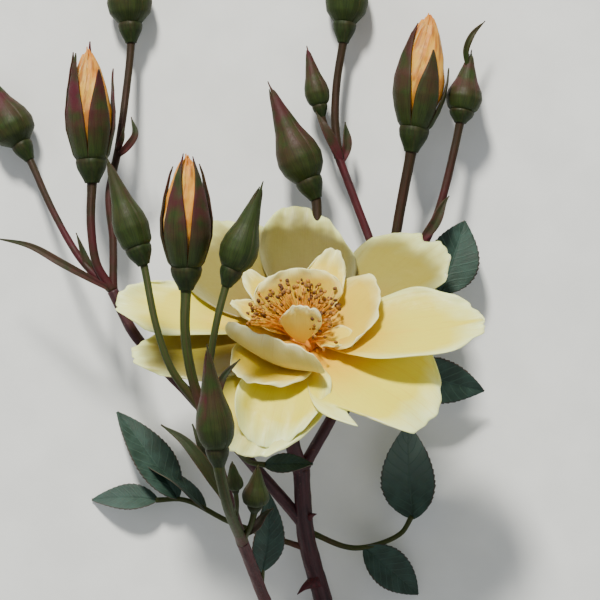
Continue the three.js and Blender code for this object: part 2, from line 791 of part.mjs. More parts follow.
const LEAVES = {
  leaf_right_upper: {
    stalk: [[389, 298, 14.5], [415, 300, 13], [440, 292, 11]],
    blades: [{ from: [440, 294, 11], to: [465, 221, 5.5], half: 7.2, up: [0.2, 0.1, 1] }],
  },
  leaf_right_lower: {
    stalk: [[357, 377, 17.5], [380, 372, 15], [402, 366, 13]],
    blades: [{ from: [400, 366, 13], to: [484, 391, 7], half: 6.4, up: [0, -0.3, 1] }],
  },
  leaf_lower_right: {
    stalk: [[305, 530, 10.5], [355, 548, 8], [400, 534, 7], [412, 516, 7.5]],
    blades: [
      { from: [413, 519, 7.5], to: [408, 424, 7], half: 7.6, up: [-0.3, 0, 1] },
      { from: [364, 547, 8], to: [418, 594, 0.5], half: 5.4, up: [0, 0.2, 1] },
    ],
  },
  leaf_lower_left: {
    stalk: [[305, 548, 10.5], [230, 522, 8], [185, 500, 6], [156, 500, 5]],
    blades: [
      { from: [158, 500, 5], to: [92, 500, 0.5], half: 3.9, up: [0, 0.6, 1] },
      { from: [178, 499, 6], to: [117, 412, 2.5], half: 5.6, up: [0.5, 0, 1] },
      { from: [206, 511, 7], to: [146, 465, 7], half: 4.6, up: [0.1, 0.95, 0.25] },
    ],
  },
  leaf_front: {
    stalk: [[268, 606, 32], [262, 590, 36], [262, 568, 39]],
    blades: [{ from: [262, 572, 39], to: [268, 492, 46], half: 4.6, up: [0.5, 0.2, 1] }],
  },
  leaf_small: {
    stalk: [[233, 443, 22], [250, 462, 31], [266, 465, 33]],
    blades: [{ from: [264, 465, 33], to: [313, 464, 35], half: 2.7, up: [0, 0.4, 1] }],
  },
};

function leaf(name, grow) {
  const { stalk, blades } = LEAVES[name];
  const bodies = [limb(stalk.map(at), LEAF_STALK_RADII, grow, STALK_SIDES)];
  for (const { from, to, half, up } of blades) {
    bodies.push(leaflet(at(from), at(to), half, vec(...up), grow));
  }
  return joined(bodies);
}

// The bracts: narrow pointed blades without teeth, one or more from each joint.

const BRACTS = {
  bracts_left: [
    { path: [[113, 291, 25.6], [63, 264, 27], [30, 246, 24], [-6, 238, 19]], half: 1.5 },
    { path: [[112, 291, 24.4], [92, 272, 23], [76, 233, 22]], half: 1.3 },
  ],
  bracts_front: [
    { path: [[226, 500, 62], [200, 460, 64], [183, 440, 63], [161, 425, 60]], half: 1.8 },
    { path: [[226, 503, 61], [208, 462, 60], [192, 424, 57]], half: 1.7 },
  ],
  bract_front_tall: [
    { path: [[208, 425, 72], [216, 396, 76], [224, 376, 77], [240, 359, 75]], half: 1.3 },
  ],
  bract_front_low: [
    { path: [[246, 534, 56], [257, 524, 60], [264, 515, 62], [273, 508, 61]], half: 1.3 },
  ],
  bracts_top: [
    { path: [[341, 161, 10.2], [334, 146, 11.5], [325, 128, 12], [316, 112, 10]], half: 1.5 },
    { path: [[342, 162, 8.8], [347, 145, 8.6], [345, 122, 8]], half: 1.4 },
  ],
  bract_right: [
    { path: [[421, 241, 15], [434, 224, 15.6], [444, 203, 15], [449, 196, 14]], half: 1.6 },
  ],
};

const BRACT_UP = vec(0.15, 0.1, 1);
// Where along the half wave of its outline a bract starts, its least width, and how far
// its two halves fold up.
const BRACT_FORM = { start: 0.16, least: 0.12, fold: 0.3 };

function bract({ path, half }, grow) {
  const { start, least, fold } = BRACT_FORM;
  const curve = new THREE.CatmullRomCurve3(path.map(at), false, "centripetal");
  const surface = (u, v) => {
    const heading = curve.getTangentAt(u);
    const over = across(heading, BRACT_UP);
    const side = heading.clone().cross(over);
    const width = half * Math.max(Math.sin(Math.PI * mix(start, 1, u)), least);
    return curve
      .getPointAt(u)
      .addScaledVector(side, v * width)
      .addScaledVector(over, fold * Math.abs(v) * width);
  };
  return shell(surface, BRACT_ROWS, 2, BRACT_THICK, grow);
}

const bracts = (name, grow) => joined(BRACTS[name].map((row) => bract(row, grow)));

// The order sets which of two neighbours gives way: a later solid is cut clear of the
// ones before it.

const COLOURS = {
  stem: 0x3a1f26,
  stalk: 0x6d3b3a,
  hip: 0x55783a,
  petal: 0xf6e7a8,
  inner: 0xf3d98c,
  cone: 0xe6a45c,
  stamen: 0xd9822b,
  leaf: 0x24483a,
  bract: 0x5a3a3c,
};

const ORDER = [];
const list = (names, colour, build) =>
  names.forEach((name) => ORDER.push({ name, colour, build: (grow) => build(name, grow) }));
list(Object.keys(STEMS), COLOURS.stem, stem);
list(["bloom_hip"], COLOURS.hip, (_, grow) => bloomHip(grow));
const INNER_PETAL = 30;
const petalNames = Object.keys(PETALS);
const innerNames = petalNames.filter((name) => PETALS[name].length < INNER_PETAL).reverse();
const outerNames = petalNames.filter((name) => PETALS[name].length >= INNER_PETAL);
list(innerNames, COLOURS.inner, petal);
list(["stamens"], COLOURS.stamen, (_, grow) => stamens(grow));
list(outerNames, COLOURS.petal, petal);
const openNames = Object.keys(BUDS).filter((name) => BUDS[name].open);
ORDER.push(
  ...openNames.map((name) => ({
    name: name + "_petals",
    colour: COLOURS.cone,
    build: (grow) => budPetals(name, grow),
  })),
);
list(Object.keys(BUDS), COLOURS.hip, bud);
list(Object.keys(LEAVES), COLOURS.leaf, leaf);
list(Object.keys(BRACTS), COLOURS.bract, bracts);

const reaches = (a, b, margin) =>
  [0, 1, 2].every((i) => a.min[i] - margin <= b.max[i] && b.min[i] - margin <= a.max[i]);

/** The largest of the separate bodies that a cut leaves. */
function largest(body) {
  const pieces = body.decompose();
  return pieces.reduce((best, piece) => (piece.volume() > best.volume() ? piece : best));
}

const made = [];
for (const row of ORDER) {
  let body = row.build(0);
  for (const other of made) {
    if (!reaches(body.boundingBox(), other.body.boundingBox(), 2 * CLEAR)) continue;
    body = body.subtract(other.grown());
  }
  let grownBody = null;
  const grown = () => {
    grownBody = grownBody || row.build(CLEAR);
    return grownBody;
  };
  made.push({ ...row, body: largest(body), grown });
}

// Moved so that the middle of the bounding box stands over the origin and the lowest
// point is on the floor.
const low = [0, 1, 2].map((i) => Math.min(...made.map(({ body }) => body.boundingBox().min[i])));
const high = [0, 1, 2].map((i) => Math.max(...made.map(({ body }) => body.boundingBox().max[i])));
const shift = [-(low[0] + high[0]) / 2, -(low[1] + high[1]) / 2, -low[2]];

const group = new THREE.Group();
group.name = "cut_rose_branch";
group.userData.shift = shift;
for (const { name, colour, body } of made) {
  const { numProp, vertProperties, triVerts } = body.translate(shift).getMesh();
  const geometry = new THREE.BufferGeometry();
  const places = new Float32Array((vertProperties.length / numProp) * 3);
  for (let i = 0; i < places.length / 3; i += 1) {
    places.set(vertProperties.slice(i * numProp, i * numProp + 3), i * 3);
  }
  geometry.setAttribute("position", new THREE.BufferAttribute(places, 3));
  geometry.setIndex(new THREE.BufferAttribute(new Uint32Array(triVerts), 1));
  const flat = geometry.toNonIndexed();
  flat.computeVertexNormals();
  const material = new THREE.MeshStandardMaterial({ color: colour, roughness: 0.7, metalness: 0 });
  const mesh = new THREE.Mesh(flat, material);
  mesh.name = name;
  group.add(mesh);
}

export default group;
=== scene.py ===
"""The looks of a cut flowering rose branch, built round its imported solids.

The branch lies on its back on a pale floor, under a camera that looks straight down on
it. Lengths are millimetres in the picture's own frame until a mesh is made; meshes are
in metres in the frame of the solids.
"""

import logging
import math
from collections.abc import Callable, Sequence
from dataclasses import dataclass
from enum import Enum
from functools import cache

import bpy
import numpy as np
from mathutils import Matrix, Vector
from numpy.typing import NDArray


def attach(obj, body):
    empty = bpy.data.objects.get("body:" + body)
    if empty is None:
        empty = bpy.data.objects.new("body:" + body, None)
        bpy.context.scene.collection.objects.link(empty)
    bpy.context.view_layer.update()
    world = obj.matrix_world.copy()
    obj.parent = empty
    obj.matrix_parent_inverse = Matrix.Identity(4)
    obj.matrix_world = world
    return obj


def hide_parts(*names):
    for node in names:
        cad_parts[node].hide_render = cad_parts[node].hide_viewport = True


LOG = logging.getLogger("rose_branch")

Array = NDArray[np.float64]
Place = tuple[float, float, float]
Colour = tuple[float, float, float]
Socket = bpy.types.NodeSocket
Material = bpy.types.Material

METRE = 0.001
# How far the solids were moved so that they stand over the origin, on the floor.
SHIFT = np.array([17.3305, 9.1560, -0.0924])
# The lowest a piece of the branch comes, where it rests on the floor.
RESTING_HEIGHT = 0.02 * METRE
UP = np.array([0.0, 0.0, 1.0])
# The turn in degrees from one stamen or rolled petal to the next.
GOLDEN_DEGREES = 137.5
SEPALS = 5
# The name under which a mesh keeps along and across.
CHART = "along_across"

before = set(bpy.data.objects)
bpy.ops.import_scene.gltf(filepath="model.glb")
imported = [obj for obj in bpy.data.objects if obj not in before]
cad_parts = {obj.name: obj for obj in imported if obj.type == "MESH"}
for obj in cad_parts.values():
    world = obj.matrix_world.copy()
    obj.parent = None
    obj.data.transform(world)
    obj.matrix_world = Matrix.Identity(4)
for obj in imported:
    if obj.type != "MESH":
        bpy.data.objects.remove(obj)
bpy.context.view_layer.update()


# Places and curves


@dataclass(frozen=True)
class Picture:
    """The view that places are read in: straight down, the eye over the picture's middle."""

    middle: float = 300.0
    pixels_per_mm: float = 4.244
    bloom_height: float = 42.0
    eye_over_bloom: float = 650.0

    @property
    def eye_height(self) -> float:
        """Height of the eye over the floor, in mm."""
        return self.bloom_height + self.eye_over_bloom

    @property
    def focal_pixels(self) -> float:
        """Focal length in the picture's pixels."""
        return self.pixels_per_mm * self.eye_over_bloom

    def place(self, spot: Place) -> Array:
        """The point seen at a place of the picture.

        Args:
            spot: Pixels across, pixels down, and height over the floor in mm.

        Returns:
            The point in mm.
        """
        column, row, height = spot
        spread = (self.eye_height - height) / self.focal_pixels
        return np.array([(column - self.middle) * spread, (self.middle - row) * spread, height])


PICTURE = Picture()


def unit(vector: Array) -> Array:
    """The vector, or each of an array of them, at length 1."""
    size = np.linalg.norm(vector, axis=-1, keepdims=True)
    return vector / np.maximum(size, 1e-9)


def across(direction: Array, wanted: Array) -> Array:
    """A direction square to a given one, as near as may be to a wanted one."""
    side = wanted - direction * float(np.dot(wanted, direction))
    if np.linalg.norm(side) < 1e-6:
        return across(direction, np.array([0.3, 0.9, 0.2]))
    return unit(side)


def smooth(value: Array | float) -> Array | float:
    """A soft step from 0 to 1."""
    clipped = np.clip(value, 0.0, 1.0)
    return clipped * clipped * (3 - 2 * clipped)


def past(start: float, value: Array | float) -> Array | float:
    """A soft step from 0 at a start to 1 where the value is 1."""
    return smooth((value - start) / (1 - start))


def along(stations: Sequence[float], share: Array | float) -> Array:
    """A value read along evenly spaced stations, with straight runs between them."""
    return np.interp(share, np.linspace(0, 1, len(stations)), stations)


class Course:
    """A smooth curve through points, read by share of its length."""

    def __init__(self, points: Sequence[Array], steps: int = 40) -> None:
        """Makes the curve.

        Args:
            points: The points it passes through, in mm.
            steps: How many samples lie between two of them.
        """
        rows = [2 * points[0] - points[1], *points, 2 * points[-1] - points[-2]]
        samples = []
        for p0, p1, p2, p3 in zip(rows, rows[1:], rows[2:], rows[3:], strict=False):
            pairs = ((p0, p1), (p1, p2), (p2, p3))
            d0, d1, d2 = (max(float(np.linalg.norm(b - a)) ** 0.5, 1e-4) for a, b in pairs)
            lead = ((p1 - p0) / d0 - (p2 - p0) / (d0 + d1) + (p2 - p1) / d1) * d1
            tail = ((p2 - p1) / d1 - (p3 - p1) / (d1 + d2) + (p3 - p2) / d2) * d1
            t = np.linspace(0, 1, steps, endpoint=False)[:, None]
            curve = (2 * p1 - 2 * p2 + lead + tail) * t**3
            curve += (-3 * p1 + 3 * p2 - 2 * lead - tail) * t**2
            samples.append(curve + lead * t + p1)
        self.points = np.vstack([*samples, points[-1][None]])
        runs = np.linalg.norm(np.diff(self.points, axis=0), axis=1)
        self.length = float(runs.sum())
        self.shares = np.concatenate([[0], np.cumsum(runs)]) / self.length

    def at(self, share: Array | float) -> Array:
        """The points at shares of the length."""
        columns = [np.interp(share, self.shares, self.points[:, k]) for k in range(3)]
        return np.stack(columns, axis=-1)

    def heading(self, share: Array | float) -> Array:
        """The unit directions at shares of the length."""
        gap = 0.012
        return unit(self.at(np.asarray(share) + gap) - self.at(np.asarray(share) - gap))


def course_through(path: Sequence[Place], steps: int = 40) -> Course:
    """The curve through places of the picture."""
    return Course([PICTURE.place(spot) for spot in path], steps)


# Meshes


@dataclass
class Surface:
    """Points, faces and what the finishes read from them.

    Attributes:
        points: One row of x, y, z in mm for each vertex.
        faces: Four vertex numbers for each face.
        spots: Along and across, 0 to 1, for each vertex.
        tint: A number from 0 to 1 for each vertex, the same over one petal or leaf.
        back: Which faces take the second finish.
    """

    points: Array
    faces: NDArray[np.int64]
    spots: Array
    tint: Array
    back: NDArray[np.bool_]


def merged(parts: Sequence[Surface]) -> Surface:
    """Several surfaces as one."""
    counts = np.cumsum([0, *(len(part.points) for part in parts)])
    return Surface(
        np.vstack([part.points for part in parts]),
        np.vstack([part.faces + start for part, start in zip(parts, counts, strict=False)]),
        np.vstack([part.spots for part in parts]),
        np.concatenate([part.tint for part in parts]),
        np.concatenate([part.back for part in parts]),
    )


def grid_faces(rows: int, columns: int, closed: bool = False) -> NDArray[np.int64]:
    """The faces of a grid of points.

    Args:
        rows: How many runs of faces lie along it.
        columns: How many lie across it.
        closed: Whether the last column joins the first.

    Returns:
        Four vertex numbers for each face.
    """
    width = columns if closed else columns + 1
    i, j = np.meshgrid(np.arange(rows), np.arange(columns), indexing="ij")
    following = (j + 1) % width
    faces = [i * width + j, i * width + following, (i + 1) * width + following]
    return np.stack([*faces, (i + 1) * width + j], axis=-1).reshape(-1, 4)


# Over how many faces a sheet thins toward its rim.
RIM_FACES = 2.5
# How small the ring is that closes the end of a body, as a share of its last ring.
CLOSING = 0.02


def sheet(
    shape: Callable[[Array, Array], Array],
    rows: int,
    columns: int,
    thick: float,
    rim: float = 0.35,
    tint: float = 0.5,
) -> Surface:
    """A thin closed sheet over a surface, thinner at its rim.

    Args:
        shape: Gives points from arrays of u (0 to 1) and v (-1 to 1).
        rows: Faces along u.
        columns: Faces along v.
        thick: Thickness in mm.
        rim: Share of the thickness that is left at the rim.
        tint: The sheet's own number for its finish.

    Returns:
        The closed surface, its back marked.
    """
    u, v = np.meshgrid(np.linspace(0, 1, rows + 1), np.linspace(-1, 1, columns + 1), indexing="ij")
    middle = shape(u, v)
    down = np.gradient(middle, axis=0)
    over = np.gradient(middle, axis=1)
    normal = unit(np.cross(down, over))
    edge = np.minimum(np.minimum(u * rows, (1 - u) * rows), (1 - np.abs(v)) * columns / 2)
    half = 0.5 * thick * (rim + (1 - rim) * smooth(edge / RIM_FACES))
    offset = normal * np.asarray(half)[..., None]
    count = (rows + 1) * (columns + 1)
    front = grid_faces(rows, columns)
    index = np.arange(count).reshape(rows + 1, columns + 1)
    loop = np.concatenate([index[0, :-1], index[:-1, -1], index[-1, :0:-1], index[:0:-1, 0]])
    after = np.roll(loop, -1)
    side = np.stack([loop, loop + count, after + count, after], axis=-1)
    faces = np.vstack([front, (front + count)[:, ::-1], side])
    back = np.zeros(len(faces), dtype=bool)
    back[len(front) : 2 * len(front)] = True
    spots = np.stack([u, (v + 1) / 2], axis=-1).reshape(-1, 2)
    points = np.vstack([(middle + offset).reshape(-1, 3), (middle - offset).reshape(-1, 3)])
    return Surface(points, faces, np.vstack([spots, spots]), np.full(2 * count, tint), back)


def lathe_rings(centres: Array, leads: Array, sides: Array, radii: Array, tint: float = 0.5) -> Surface:
    """A closed body skinned over rings.

    Args:
        centres: The middle of each ring.
        leads: The direction from each middle to its ring's first point.
        sides: The direction square to it in the ring's plane.
        radii: One row of radii for each ring.
        tint: The body's own number for its finish.

    Returns:
        The closed surface, each end drawn together to its middle.
    """
    rings, count = radii.shape
    angle = np.linspace(0, 2 * math.pi, count, endpoint=False)
    ring = leads[:, None] * np.cos(angle)[:, None] + sides[:, None] * np.sin(angle)[:, None]
    points = centres[:, None] + ring * radii[..., None]
    first = np.repeat(centres[:1, None], count, axis=1)
    last = np.repeat(centres[-1:, None], count, axis=1)
    first = first + CLOSING * (points[:1] - first)
    last = last + CLOSING * (points[-1:] - last)
    points = np.concatenate([first, points, last])
    share = np.concatenate([[0], np.linspace(0, 1, rings), [1]])
    turn = np.linspace(0, 1, count, endpoint=False)
    spots = np.stack(np.meshgrid(share, turn, indexing="ij"), axis=-1).reshape(-1, 2)
    faces = grid_faces(rings + 1, count, closed=True)[:, ::-1]
    caps = []
    for start, way in ((0, 1), ((rings + 1) * count, -1)):
        for k in range(count // 2 - 1):
            quad = [start + k, start + k + 1, start + count - 2 - k, start + count - 1 - k]
            caps.append(quad[::way])
    faces = np.vstack([faces, np.array(caps)])
    flat = points.reshape(-1, 3)
    return Surface(flat, faces, spots, np.full(len(flat), tint), np.zeros(len(faces), dtype=bool))


def spun(centres: Array, heading: Array, wanted: Array, radii: Array, tint: float = 0.5) -> Surface:
    """A closed body of rings that all face one way.

    Args:
        centres: The middle of each ring.
        heading: The direction that the rings face.
        wanted: The direction that their first points lie in, as near as may be.
        radii: One row of radii for each ring.
        tint: The body's own number for its finish.

    Returns:
        The closed surface.
    """
    lead = across(heading, wanted)
    rows = (len(centres), 1)
    return lathe_rings(centres, np.tile(lead, rows), np.tile(np.cross(heading, lead), rows), radii, tint)


# Each ridge of a limb: turns round it, pitch in radians to the mm and share of the relief.
RIDGES = ((3, 0.21, 0.5), (5, 0.53, 0.32), (2, 1.1, 0.25), (7, 2.3, 0.16))
# How far from its ends a limb swells, in mm.
SWELL_LENGTH = 2.2


def limb(
    course: Course,
    radii: Sequence[float],
    sides: int,
    gap: float,
    relief: float = 0.0,
    seed: float = 0.0,
    swell: float = 0.0,
    tint: float = 0.5,
) -> Surface:
    """A round limb along a curve.

    Args:
        course: The curve.
        radii: Radius in mm at evenly spaced stations.
        sides: Points round it.
        gap: Length of a ring to ring step, in mm.
        relief: Height of its low ridges, as a share of the radius.
        seed: Sets where they lie.
        swell: How much thicker its two ends are, as a share of the radius.
        tint: Its own number for its finish.

    Returns:
        The closed surface.
    """
    count = max(4, round(course.length / gap))
    shares = np.linspace(0, 1, count + 1)
    centres = course.at(shares)
    headings = course.heading(shares)
    leads = [UP]
    for heading in headings:
        leads.append(across(heading, leads[-1]))
    first_points = np.array(leads[1:])
    radius = along(radii, shares)
    ends = np.exp(-((shares * course.length / SWELL_LENGTH) ** 2))
    ends = ends + np.exp(-(((1 - shares) * course.length / SWELL_LENGTH) ** 2))
    radius = radius * (1 + swell * ends)
    angle = np.linspace(0, 2 * math.pi, sides, endpoint=False)
    rows = np.repeat(radius[:, None], sides, axis=1)
    run = shares[:, None] * course.length
    for order, (turns, pitch, size) in enumerate(RIDGES, start=1):
        phase = seed * order * 1.7
        wave = np.sin(turns * angle + phase + pitch * run + np.sin(0.3 * run + phase))
        rows = rows + radius[:, None] * relief * size * wave
    return lathe_rings(centres, first_points, np.cross(headings, first_points), rows, tint)


def turned(
    start: Array, end: Array, rows: Sequence[Sequence[float]], sides: int, rings: int, wobble: float = 0.0
) -> Surface:
    """A body turned about the line between two points.

    Args:
        start: Where the line starts, in mm.
        end: Where it ends.
        rows: Pairs of share along the line and radius in mm.
        sides: Points round it.
        rings: Rings along it.
        wobble: How far from round it is, as a share of the radius.

    Returns:
        The closed surface.
    """
    shares = np.linspace(rows[0][0], rows[-1][0], rings)
    radius = smooth_profile(np.array(rows), shares)
    centres = start + (end - start) * shares[:, None]
    angle = np.linspace(0, 2 * math.pi, sides, endpoint=False)
    table = radius[:, None] * (1 + wobble * np.sin(5 * angle + 3 * shares[:, None]))
    return spun(centres, unit(end - start), UP, table)


def narrow_blade(path: Sequence[Place], half: float, tint: float) -> Surface:
    """A narrow keeled blade along a curve.

    Args:
        path: Places along it.
        half: Half its width in mm.
        tint: Its own number for the finish.

    Returns:
        Its closed surface.
    """
    course = course_through(path)
    wanted = unit(np.array([0.15, 0.1, 1.0]))

    def shape(u: Array, v: Array) -> Array:
        heading = course.heading(u)
        over = unit(wanted - heading * (heading @ wanted)[..., None])
        side = np.cross(heading, over)
        width = 0.82 * half * np.maximum(np.sin(math.pi * (0.16 + 0.84 * u)), 0.1)
        keel = 0.45 * np.abs(v) ** 1.5 * width + 0.08 * np.sin(14 * u) * v
        return course.at(u) + side * (v * width)[..., None] + over * keel[..., None]

    return sheet(shape, 44, 10, 0.4, rim=0.5, tint=tint)


def smooth_profile(known: Array, shares: Array) -> Array:
    """Radii between known rows, eased so that the profile has no corners."""
    samples, width = 400, 24
    fine = np.linspace(known[0, 0], known[-1, 0], samples)
    values = np.interp(fine, known[:, 0], known[:, 1])
    padded = np.concatenate([np.full(width, values[0]), values, np.full(width, values[-1])])
    window = np.hanning(2 * width + 1)
    eased = np.convolve(padded, window / window.sum(), mode="valid")
    return np.interp(shares, fine, eased)


# Finishes


class Recipe:
    """A material's node tree while it is put together."""

    def __init__(self, name: str) -> None:
        """Starts an empty material with a principled shader and its output."""
        self.material = bpy.data.materials.new(name)
        self.material.use_nodes = True
        self.tree = self.material.node_tree
        self.tree.nodes.clear()
        self.shader = self.node("ShaderNodeBsdfPrincipled")
        self.node("ShaderNodeOutputMaterial", {"Surface": self.shader.outputs["BSDF"]})

    def feed(self, target: Socket, value: object) -> None:
        """Links an input to a socket, or sets it to a number or a colour."""
        if isinstance(value, Socket):
            self.tree.links.new(value, target)
        elif target.type == "RGBA":
            target.default_value = (*value, 1.0)
        else:
            target.default_value = value

    def node(self, kind: str, fed: dict[str | int, object] | None = None, **values: str) -> bpy.types.Node:
        """Adds a node, sets its own properties and feeds its inputs.

        Args:
            kind: The node's kind.
            fed: What its inputs are fed with, by their names or numbers.
            **values: Its own properties.

        Returns:
            The node.
        """
        made = self.tree.nodes.new(kind)
        for key, value in values.items():
            setattr(made, key, value)
        for key, value in (fed or {}).items():
            self.feed(made.inputs[key], value)
        return made

    def spot(self) -> Socket:
        """The socket of the place on the surface's chart."""
        return self.node("ShaderNodeUVMap", uv_map=CHART).outputs["UV"]

    def chart(self) -> tuple[Socket, Socket]:
        """The sockets that give along and across, 0 to 1."""
        split = self.node("ShaderNodeSeparateXYZ", {0: self.spot()})
        return split.outputs["X"], split.outputs["Y"]

    def tint(self) -> Socket:
        """The socket that gives the surface's own number."""
        return self.node("ShaderNodeAttribute", attribute_name="tint").outputs["Fac"]

    def number(self, operation: str, *values: Socket | float) -> Socket:
        """What a Math node makes of numbers or sockets."""
        return self.node("ShaderNodeMath", dict(enumerate(values)), operation=operation).outputs[0]

    def times(self, first: Socket, second: Socket | float) -> Socket:
        """The product of two numbers."""
        return self.number("MULTIPLY", first, second)

    def from_half(self, value: Socket) -> Socket:
        """How far a number is over one half, below zero where it is under it."""
        return self.number("SUBTRACT", value, 0.5)

    def from_middle(self, cross: Socket) -> Socket:
        """How far a place lies from the middle line, 0 to 0.5 at the rim."""
        return self.number("ABSOLUTE", self.from_half(cross))

    def ease(self, value: Socket, low: float, high: float, least: float = 0.0, most: float = 1.0) -> Socket:
        """A number taken from one range to another, eased at both ends."""
        ends = {"From Min": low, "From Max": high, "To Min": least, "To Max": most}
        fed = {"Value": value, **ends}
        return self.node("ShaderNodeMapRange", fed, interpolation_type="SMOOTHSTEP").outputs["Result"]

    def grain(self, place: Socket, scale: float, detail: float) -> Socket:
        """A noise of a scale, with finer layers, over places; 0 to 1."""
        fed = {"Vector": place, "Scale": scale, "Detail": detail}
        return self.node("ShaderNodeTexNoise", fed).outputs["Fac"]

    def noise(self, scale: float, detail: float = 3.0) -> Socket:
        """A noise in the object's own space, its scale in features to the metre."""
        return self.grain(self.node("ShaderNodeTexCoord").outputs["Object"], scale, detail)

    def streaks(self, run: float, cross: float, detail: float = 3.0) -> Socket:
        """A noise over the chart, stretched by factors along and across."""
        fed = {"Vector": self.spot(), "Scale": (run, cross, 1.0)}
        return self.grain(self.node("ShaderNodeMapping", fed).outputs["Vector"], 1.0, detail)

    def ramp(self, value: Socket, stops: Sequence[tuple[float, Colour]]) -> Socket:
        """Colours along a number, from pairs of place and colour."""
        made = self.node("ShaderNodeValToRGB", {"Fac": value})
        band = made.color_ramp
        while len(band.elements) < len(stops):
            band.elements.new(0.5)
        for element, (place, colour) in zip(band.elements, stops, strict=True):
            element.position = place
            element.color = (*colour, 1.0)
        return made.outputs["Color"]

    def mix(self, share: Socket, first: Socket | Colour, second: Socket | Colour) -> Socket:
        """Two colours mixed; the share says how much of the second shows."""
        return self.node("ShaderNodeMix", {0: share, 6: first, 7: second}, data_type="RGBA").outputs[2]

    def stain(
        self,
        colour: Socket | Colour,
        other: Colour,
        value: Socket,
        low: float,
        high: float,
        most: float = 1.0,
    ) -> Socket:
        """A colour stained with another.

        Args:
            colour: The colour under the stain.
            other: The stain's colour.
            value: The number that the stain follows.
            low: The number at which the stain starts.
            high: The number at which it is full.
            most: How much of it shows there.

        Returns:
            The socket of the stained colour.
        """
        return self.mix(self.ease(value, low, high, most=most), colour, other)

    def bumps(self, *layers: tuple[Socket, float, float]) -> None:
        """Relief from layers of height, strength and depth in mm, the first one lowest."""
        below: dict[str | int, object] = {}
        for height, strength, depth in layers:
            fed = {"Strength": strength, "Distance": depth * METRE, "Height": height, **below}
            below = {"Normal": self.node("ShaderNodeBump", fed).outputs["Normal"]}
        self.feed(self.shader.inputs["Normal"], below["Normal"])

    def surface(self, colour: Socket, roughness: Socket | float, **shader: float) -> Material:
        """Feeds colour and roughness to the shader and sets its other values."""
        self.feed(self.shader.inputs["Base Color"], colour)
        self.feed(self.shader.inputs["Roughness"], roughness)
        for key, value in shader.items():
            label = key.replace("_", " ").title().replace("Ior", "IOR")
            self.shader.inputs[label].default_value = value
        return self.material


@dataclass(frozen=True)
class PetalFinish:
    """A petal's face or back: warm at its foot, paler toward its rim, with fine veins, and painted shade on
    the petals that face away from the key light.

    Attributes:
        name: The finish's name.
        foot: Colour at the foot.
        low: Colour a third of the way up.
        high: Colour of the upper half.
        rim: Colour at the rim.
        shine: Roughness of its satin.
        blush: A faint warm flush in fine streaks.
        deep: Painted shade, with a little of the petal's own deeper tone: the colour that the petals facing
            away from the key light are stained with.
    """

    name: str
    foot: Colour = (0.84, 0.30, 0.004)
    low: Colour = (0.88, 0.52, 0.006)
    high: Colour = (0.84, 0.71, 0.05)
    rim: Colour = (0.90, 0.98, 0.42)
    shine: float = 0.5
    blush: Colour = (0.74, 0.48, 0.03)
    deep: Colour = (0.048, 0.036, 0.003)

    def build(self) -> Material:
        """The finish as a material."""
        recipe = Recipe(self.name)
        run, cross = recipe.chart()
        patches = recipe.noise(150.0, 2.0)
        moved = recipe.number("MULTIPLY_ADD", recipe.from_half(patches), 0.2, run)
        stops = [(0.0, self.foot), (0.25, self.low), (0.58, self.high), (0.78, self.high), (0.98, self.rim)]
        colour = recipe.ramp(moved, stops)
        paler = recipe.ease(recipe.from_middle(cross), 0.36, 0.5, most=0.7)
        colour = recipe.mix(recipe.times(paler, recipe.ease(run, 0.2, 0.6)), colour, self.rim)
        veins = recipe.streaks(2.2, 62.0, 2.0)
        colour = recipe.stain(colour, self.blush, veins, 0.5, 0.72, 0.3)
        # Painted shade, partly the petal's own deeper tone: by its tint the petal takes the deep colour,
        # least at its rim.
        depth = recipe.times(recipe.tint(), recipe.ease(moved, 0.8, 1.05, 0.95, 0.1))
        colour = recipe.mix(depth, colour, self.deep)
        crepe = recipe.noise(900.0, 4.0)
        satin = recipe.ease(crepe, 0.3, 0.7, self.shine - 0.07, self.shine + 0.08)
        recipe.bumps((veins, 0.5, 0.10), (crepe, 0.35, 0.05), (patches, 0.5, 0.5))
        recipe.shader.subsurface_method = "RANDOM_WALK"
        recipe.shader.inputs["Subsurface Radius"].default_value = (1.0, 0.72, 0.3)
        return recipe.surface(
            colour, satin, subsurface_weight=0.28, subsurface_scale=0.0016, sheen_weight=0.04
        )


@dataclass(frozen=True)
class BarkFinish:
    """The stems' smooth young bark: dark purple-brown, streaked, with pale pores.

    Attributes:
        name: The finish's name.
        dark: The bark's deepest colour.
        warm: Its red-purple flush.
        pore: The pale pores.
        sheen: Its roughness.
    """

    name: str
    dark: Colour = (0.013, 0.007, 0.008)
    warm: Colour = (0.058, 0.015, 0.019)
    pore: Colour = (0.16, 0.09, 0.06)
    sheen: float = 0.48

    def build(self) -> Material:
        """The finish as a material."""
        recipe = Recipe(self.name)
        streaks = recipe.streaks(9.0, 16.0, 4.0)
        colour = recipe.ramp(streaks, [(0.3, self.dark), (0.62, self.warm)])
        colour = recipe.stain(colour, self.warm, recipe.noise(140.0), 0.45, 0.7, 0.6)
        spots = recipe.ease(recipe.noise(1300.0, 2.0), 0.69, 0.74)
        colour = recipe.mix(recipe.times(spots, 0.6), colour, self.pore)
        fine = recipe.noise(2600.0)
        gloss = recipe.ease(fine, 0.3, 0.7, self.sheen - 0.08, self.sheen + 0.12)
        recipe.bumps((streaks, 0.4, 0.2), (spots, 0.5, 0.12), (fine, 0.3, 0.05))
        return recipe.surface(colour, gloss, specular_ior_level=0.3)


